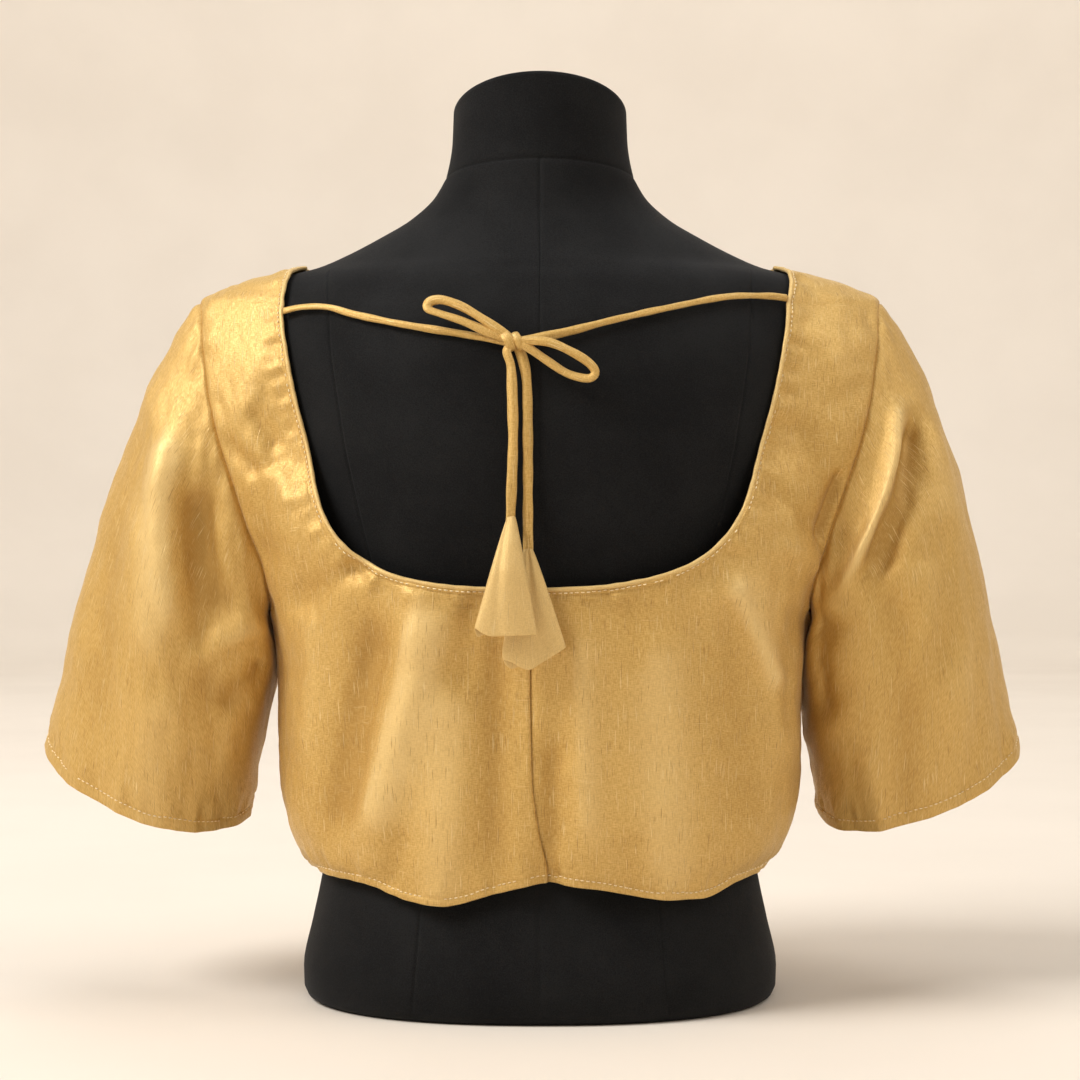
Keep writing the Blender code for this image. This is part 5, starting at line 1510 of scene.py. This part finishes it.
def stitch_row(surface, line, inward, normals, offset, seed):
    """Points and faces of a running stitch at a set distance from an edge."""
    random = np.random.default_rng(seed)
    places = lengths_of(line)
    count = int(places[-1] / STITCH_PITCH)
    at = (np.arange(count) + 0.5) * places[-1] / count
    at = at + random.uniform(-STITCH_STRAY, STITCH_STRAY, count)
    points = []
    faces = []
    sides = STITCH_SIDES
    turn = np.linspace(0, 2 * math.pi, sides, endpoint=False)
    for place in at:
        middle, step_in, up = (
            np.array([np.interp(place, places, v[:, i]) for i in range(3)])
            for v in (line, inward, normals)
        )
        above = middle + step_in * offset + up * STITCH_HEIGHT
        spot, _, _, far = surface.find_nearest(Vector(above))
        if spot is None or far > STITCH_REACH:
            continue
        along = unit(np.cross(up, step_in))
        across = unit(np.cross(along, up))
        half = STITCH_LENGTH / 2 * random.uniform(0.9, 1.1)
        start = len(points)
        for share, size in STITCH_RINGS:
            ring = (
                np.array(spot)
                + along * half * share
                + up * (STITCH_HEIGHT * size - STITCH_SINK)
                + np.cos(turn)[:, None] * across * STITCH_WIDTH / 2 * size
                + np.sin(turn)[:, None] * up * STITCH_HEIGHT * size
            )
            points.extend(ring.tolist())
        for ring in range(len(STITCH_RINGS) - 1):
            for i in range(sides):
                low = start + ring * sides
                j = (i + 1) % sides
                faces.append((low + i, low + j, low + sides + j, low + sides + i))
        faces.append(tuple(start + i for i in range(sides)))
        faces.append(tuple(start + (len(STITCH_RINGS) - 1) * sides + i for i in range(sides)))
    return points, faces


def add_stitches(name, rows, finish):
    points = []
    faces = []
    for surface, line, inward, normals, offset, seed in rows:
        more, more_faces = stitch_row(surface, line, inward, normals, offset, seed)
        faces += [tuple(i + len(points) for i in face) for face in more_faces]
        points += more
    corners = sum(len(face) for face in faces)
    return mesh_object(name, points, faces, np.zeros((corners, 2)), finish)


def form_angles(height):
    """Angles round the form at one height, with columns beside each of its seams."""
    half = smooth_curve(FORM["height"], FORM["half_width"], height)
    back_right, front_right = (
        ring_angle(
            FORM, min(np.interp(height, SEAMS["height"], SEAMS[face]), SEAM_REACH * half), height, face
        )
        for face in ("back", "front")
    )
    marks = np.array([
        -math.pi, -math.pi - back_right, -math.pi / 2, back_right,
        0.0, front_right, math.pi / 2, math.pi - front_right, math.pi,
    ])
    angles = []
    off = []
    ended = OUT_OF_SEAM * smooth_step(
        PRINCESS_TOP - PRINCESS_FADE, PRINCESS_TOP + PRINCESS_FADE, height
    )
    for i, (low, high) in enumerate(zip(marks, marks[1:])):
        span = (high - low) * FORM_SPAN_SHARE * half
        near = np.array(FORM_STEPS) / span
        middle = np.linspace(near[-1], 1 - near[-1], FORM_SPAN_COLUMNS)[1:-1]
        share = np.concatenate([near, middle, 1 - near[::-1]])[:-1]
        angles.append(low + (high - low) * share)
        low_off = share * span + ended * (i % 2)
        high_off = (1 - share) * span + ended * (1 - i % 2)
        off.append(np.minimum(low_off, high_off))
    return np.concatenate(angles), np.concatenate(off)


def add_form(finish):
    """The dress form: sewn black cover with seams, a slanted neck and a domed cap."""
    collar = FORM_COLLAR + np.concatenate([-np.array(FORM_STEPS)[:0:-1], FORM_STEPS])
    heights = np.concatenate([
        FORM["height"][FORM["height"] <= FORM_FOOT],
        np.linspace(FORM_FOOT, FORM_SHOULDER, FORM_LOW_ROWS)[1:],
        np.linspace(FORM_SHOULDER, FORM["height"][-1], FORM_HIGH_ROWS)[1:],
    ])
    clear = np.min(np.abs(heights[:, None] - collar), axis=1) > FORM_LEAST_STEP
    heights = np.sort(np.concatenate([heights[clear], collar]))
    angles, off = (np.stack(v) for v in zip(*(form_angles(h) for h in heights)))
    rings = ring_point(FORM, angles, heights[:, None] + 0 * angles)
    normals = normal_of(lambda a, b: ring_point(FORM, a, b), angles, heights[:, None] + 0 * angles)
    below = smooth_step(FORM_COLLAR + COLLAR_WIDTH, FORM_COLLAR - COLLAR_WIDTH, heights)[:, None]
    groove = -FORM_GROOVE * np.exp(-off / FORM_GROOVE_WIDTH) * below
    groove += FORM_LIP * bell(off - FORM_LIP_PLACE, FORM_LIP_WIDTH) * below
    groove -= COLLAR_GROOVE * np.exp(-np.abs(heights - FORM_COLLAR) / COLLAR_WIDTH)[:, None]
    inside = smooth_step(*FORM_GROOVE_START, heights)[:, None]
    rings = rings + normals * (groove * inside)[..., None]
    slant = NECK_SLANT * smooth_step(NECK_SLANT_START, FORM["height"][-1], heights)
    rings[..., 2] -= slant[:, None] * rings[..., 1]
    top = rings[-1]
    middle = top.mean(axis=0)
    caps = []
    for share in CAP_SHARES:
        ring = middle + (top - middle) * share
        ring[:, 2] += NECK_CAP_RISE * (1 - share**2)
        caps.append(ring)
    bottom = rings[0]
    low = bottom.mean(axis=0)
    feet = [low + (bottom - low) * share for share in FOOT_SHARES]
    rings = np.concatenate([np.array(feet), rings, np.array(caps)])
    rows, columns = rings.shape[:2]
    quad_rows, quad_columns = grid_quads(rows, columns, True)
    faces = (quad_rows * columns + quad_columns % columns).tolist()
    faces.append(list(range(columns)))
    faces.append([(rows - 1) * columns + i for i in range(columns)])
    turned = rings.reshape(-1, 3)
    corners = np.concatenate([np.array(face) for face in faces])
    round_it = np.arctan2(turned[:, 1], turned[:, 0]) * FORM_RADIUS
    uvs = np.stack([round_it[corners], turned[corners, 2]], -1)
    return mesh_object("form_cover", turned, faces, uvs, finish)


# Materials

def new_node(tree, kind, inputs=None, **settings):
    """A shader node; inputs gives values or other nodes' outputs by socket name or number."""
    made = tree.nodes.new(kind)
    for key, value in settings.items():
        setattr(made, key, value)
    for key, value in (inputs or {}).items():
        if isinstance(value, bpy.types.NodeSocket):
            tree.links.new(value, made.inputs[key])
        else:
            made.inputs[key].default_value = value
    return made


def new_material(name, **values):
    """A material and its tree and shader, with uniform values set on the shader itself."""
    made = bpy.data.materials.new(name)
    made.use_nodes = True
    tree = made.node_tree
    shader = tree.nodes["Principled BSDF"]
    for key, value in values.items():
        shader.inputs[key.replace("_", " ")].default_value = value
    return made, tree, shader


def streaks(tree, place, scale, detail=2.0, roughness=0.5):
    """Noise stretched by a scale in each direction of the cloth."""
    stretched = new_node(
        tree, "ShaderNodeVectorMath", {0: place, 1: (*scale, 1.0)}, operation="MULTIPLY"
    )
    noise = new_node(
        tree, "ShaderNodeTexNoise",
        {"Vector": stretched.outputs[0], "Scale": 1.0, "Detail": detail, "Roughness": roughness},
        noise_dimensions="2D",
    )
    return noise.outputs["Fac"]


def ramped(tree, value, low, high, to_low=0.0, to_high=1.0):
    made = new_node(
        tree, "ShaderNodeMapRange",
        {"Value": value, "From Min": low, "From Max": high, "To Min": to_low, "To Max": to_high},
        interpolation_type="SMOOTHSTEP",
    )
    return made.outputs["Result"]


def maths(tree, operation, first, second):
    return new_node(tree, "ShaderNodeMath", {0: first, 1: second}, operation=operation).outputs[0]


def mixed(tree, share, first, second):
    made = new_node(tree, "ShaderNodeMix", data_type="RGBA")
    for socket, value in (("Factor", share), ("A", first), ("B", second)):
        found = [s for s in made.inputs if s.name == socket and s.enabled]
        if isinstance(value, bpy.types.NodeSocket):
            tree.links.new(value, found[0])
        else:
            found[0].default_value = value
    return next(s for s in made.outputs if s.enabled)


def object_noise(tree, scale, detail):
    """Plain noise, fixed to the object."""
    place = new_node(tree, "ShaderNodeTexCoord").outputs["Object"]
    values = {"Vector": place, "Scale": scale, "Detail": detail}
    return new_node(tree, "ShaderNodeTexNoise", values).outputs["Fac"]


def add_bump(tree, shader, height, strength, distance):
    """Relief that is too fine for the mesh."""
    values = {"Height": height, "Strength": strength, "Distance": distance}
    made = new_node(tree, "ShaderNodeBump", values)
    tree.links.new(made.outputs["Normal"], shader.inputs["Normal"])


def moved(tree, place):
    """The same cloth from another place, so that two patterns don't meet."""
    return new_node(
        tree, "ShaderNodeVectorMath", {0: place, 1: (0.37, 0.61, 0.0)}, operation="ADD"
    ).outputs[0]


def silk_material(name, weave=1.0, lift=0.0):
    """Raw silk: crossed threads, pale and dark slubs, broad tone changes and a soft sheen, with
    painted shade in fold troughs and painted highlight on fold ridges. lift mixes pale silk in all
    over, as a painted highlight.
    """
    made, tree, shader = new_material(
        name, Metallic=0.40, Sheen_Weight=0.22, Sheen_Roughness=0.30,
        Sheen_Tint=(1.0, 0.92, 0.76, 1.0), Specular_Tint=(1.0, 0.95, 0.84, 1.0),
        Specular_IOR_Level=0.85,
    )
    place = new_node(tree, "ShaderNodeUVMap", uv_map="cloth").outputs["UV"]
    warp = streaks(tree, place, (THREADS * weave, THREAD_LENGTHS * weave), 2.0, THREAD_ROUGH)
    weft = streaks(tree, place, (THREAD_LENGTHS * weave, THREADS * weave), 2.0, THREAD_ROUGH)
    cross = maths(tree, "ADD", warp, weft)
    broad = streaks(tree, place, BROAD_TONE, 3.0, THREAD_ROUGH)
    long_slubs = streaks(tree, place, LONG_SLUBS, 1.0)
    wide_slubs = streaks(tree, place, WIDE_SLUBS, 1.0)
    dark_slubs = streaks(tree, moved(tree, place), DARK_SLUBS, 1.0)
    pale = maths(
        tree, "MAXIMUM",
        ramped(tree, long_slubs, 0.68, 0.77),
        ramped(tree, wide_slubs, 0.72, 0.81, 0.0, 0.45),
    )
    dark = ramped(tree, dark_slubs, 0.68, 0.78, 0.0, 0.6)
    tone = ramped(tree, cross, 0.72, 1.28)
    fine = maths(tree, "MULTIPLY", tone, 1 - BROAD_SHARE)
    tone = maths(tree, "ADD", fine, maths(tree, "MULTIPLY", broad, BROAD_SHARE))
    # Fold height from the mesh: painted shade in troughs, painted highlight on ridges
    rise = new_node(tree, "ShaderNodeAttribute", attribute_name="rise").outputs["Fac"]
    tone = maths(tree, "ADD", tone, maths(tree, "MULTIPLY", rise, FOLD_SHADE_AND_HIGHLIGHT_TONE))
    colour = mixed(tree, tone, SILK_DEEP, SILK_LIGHT)
    # Painted shade in deep troughs, then painted highlight on high ridges
    colour = mixed(tree, ramped(tree, rise, -0.15, -1.10, 0.0, 0.32), colour, SILK_DARK_SLUB_AND_SHADE)
    colour = mixed(tree, ramped(tree, rise, 0.25, 0.95, 0.0, 0.30), colour, SILK_PALE_SLUB_AND_HIGHLIGHT)
    colour = mixed(tree, dark, colour, SILK_DARK_SLUB_AND_SHADE)
    colour = mixed(tree, maths(tree, "MULTIPLY", pale, SLUB_PALENESS), colour, SILK_PALE_SLUB_AND_HIGHLIGHT)
    # lift paints highlight: a paler, lit-looking copy of the silk
    if lift:
        colour = mixed(tree, lift, colour, SILK_PALE_SLUB_AND_HIGHLIGHT)
    tree.links.new(colour, shader.inputs["Base Color"])
    rough = ramped(tree, cross, 0.70, 1.30, 0.60, 0.46)
    tree.links.new(rough, shader.inputs["Roughness"])
    raised = maths(tree, "ADD", cross, maths(tree, "MULTIPLY", pale, 1.6))
    add_bump(tree, shader, raised, 0.55, 0.00022)
    return made


def cover_material():
    """The form's black jersey cover: matt, with a fine knit and faint lint."""
    made, tree, shader = new_material(
        "black_cover_looks", Sheen_Weight=0.03, Sheen_Roughness=0.55,
        Sheen_Tint=(0.9, 0.9, 0.95, 1.0), Specular_IOR_Level=0.18,
    )
    knit, broad = (object_noise(tree, scale, 3.0) for scale in (1500.0, 22.0))
    tone = maths(tree, "ADD", maths(tree, "MULTIPLY", knit, 0.6), maths(tree, "MULTIPLY", broad, 0.4))
    colour = mixed(tree, ramped(tree, tone, 0.35, 0.65), COVER_DEEP, COVER_LIGHT)
    tree.links.new(colour, shader.inputs["Base Color"])
    tree.links.new(ramped(tree, tone, 0.35, 0.65, 0.92, 0.76), shader.inputs["Roughness"])
    add_bump(tree, shader, knit, 0.4, 0.0002)
    return made


def thread_material():
    """Pale gold sewing thread with a twist."""
    made, tree, shader = new_material("gold_thread_looks", Sheen_Weight=0.3, Roughness=0.45)
    twist = object_noise(tree, 1800.0, 2.0)
    colour = mixed(tree, ramped(tree, twist, 0.35, 0.65), THREAD_DEEP, THREAD_LIGHT)
    tree.links.new(colour, shader.inputs["Base Color"])
    add_bump(tree, shader, twist, 0.4, 0.0001)
    return made


def floor_material():
    """A smooth cream paper floor and backdrop, barely mottled."""
    made, tree, shader = new_material("cream_paper", Roughness=0.85, Specular_IOR_Level=0.2)
    mottle = object_noise(tree, 3.0, 4.0)
    colour = mixed(tree, ramped(tree, mottle, 0.3, 0.7), FLOOR_DEEP, FLOOR_LIGHT)
    tree.links.new(colour, shader.inputs["Base Color"])
    return made


# Stage

def add_camera():
    data = bpy.data.cameras.new("camera")
    data.lens = CAMERA_LENS
    data.sensor_width = CAMERA_SENSOR
    made = link("camera", data)
    made.location = CAMERA_PLACE
    made.rotation_euler = (math.pi / 2, 0.0, 0.0)
    bpy.context.scene.camera = made


def add_light(name, place, target, size, power, colour):
    data = bpy.data.lights.new(name, "AREA")
    data.shape = "DISK"
    data.size = size
    data.energy = power
    data.color = colour
    made = link(name, data)
    made.location = place
    made.rotation_euler = (Vector(target) - Vector(place)).to_track_quat("-Z", "Y").to_euler()


def add_stage(finish):
    """A seamless round sweep: a floor that bends up into a wall all round."""
    bend = np.linspace(0, math.pi / 2, SWEEP_STEPS)
    reach = np.concatenate([SWEEP_FLAT, SWEEP_REACH + SWEEP_BEND * np.sin(bend)])
    height = np.concatenate([[0, 0], SWEEP_BEND * (1 - np.cos(bend))])
    reach = np.append(reach, reach[-1])[:, None]
    height = np.append(height, SWEEP_HEIGHT)[:, None]
    turn = np.linspace(0, 2 * math.pi, SWEEP_SIDES, endpoint=False)[None]
    rings = np.stack([reach * np.cos(turn), reach * np.sin(turn), height + 0 * turn], -1)
    quad_rows, quad_columns = grid_quads(len(reach), SWEEP_SIDES, True)
    faces = (quad_rows * SWEEP_SIDES + quad_columns % SWEEP_SIDES).tolist()
    faces.append(list(range(SWEEP_SIDES)))
    corners = sum(len(face) for face in faces)
    made = mesh_object("sweep", rings.reshape(-1, 3), faces, np.zeros((corners, 2)), finish)
    for name, place, target, size, power, colour in LIGHTS:
        add_light(name, place, target, size, power, colour)
    bpy.context.scene.view_settings.view_transform = "Standard"
    world = bpy.data.worlds.new("studio")
    world.use_nodes = True
    ground = world.node_tree.nodes["Background"]
    ground.inputs["Color"].default_value = WORLD_COLOUR
    ground.inputs["Strength"].default_value = WORLD_STRENGTH
    bpy.context.scene.world = world


def carry(piece, material_slot, *nodes):
    """A piece that moves with the part and stands for CAD nodes. material_slot is not used."""
    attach(piece, "root")
    if nodes:
        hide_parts(*nodes)
    return piece


def surface_of(piece):
    """A lookup of the nearest place on a piece's surface."""
    mesh = piece.data
    return BVHTree.FromPolygons(
        [tuple(v.co) for v in mesh.vertices], [tuple(p.vertices) for p in mesh.polygons]
    )


def main():
    add_camera()
    silk = silk_material("gold_silk_looks")
    fine_silk = silk_material("gold_silk_fine", weave=1.2)
    thread = thread_material()
    cords = {name: add_cord(name, fine_silk) for name in ("left", "right")}
    # Silk with painted highlight all over, for the neck roll and the pendants
    painted_highlight_silk = silk_material("gold_silk_painted_highlight", weave=1.2, lift=0.30)
    pendants = {name: add_pendant(name, painted_highlight_silk) for name in ("left", "right")}
    knot = carry(add_knot(fine_silk), "gold_silk", "knot")
    for name, (made, line, start) in cords.items():
        carry(made, "gold_silk", f"tie_{name}", f"bow_{name}", f"tail_{name}")
        pendant = carry(pendants[name], "gold_silk", f"pendant_{name}")

    carry(add_form(cover_material()), "black_cover", "dress_form")
    stitches = []
    edges = {}
    for side, hand in HANDS.items():
        for kind in CUTS:
            if kind == "sleeve":
                piece, lines = sleeve(side, silk)
            else:
                piece, lines, edges[(side, kind)] = panel(side, kind, silk)
            carry(piece, "gold_silk", f"{kind}_{hand}")
            surface = surface_of(piece)
            stitches += [(surface, *line, SEEDS[(side, kind)] + i) for i, line in enumerate(lines)]
    order = ((-1, "front", True), (-1, "back", False), (1, "back", True), (1, "front", False))
    roll = add_neck_roll([(edges[key[:2]], *key) for key in order], painted_highlight_silk)
    carry(roll, "gold_silk", "neck_binding")
    carry(add_stitches("running_stitches", stitches, thread), "gold_silk")
    add_stage(floor_material())


main()
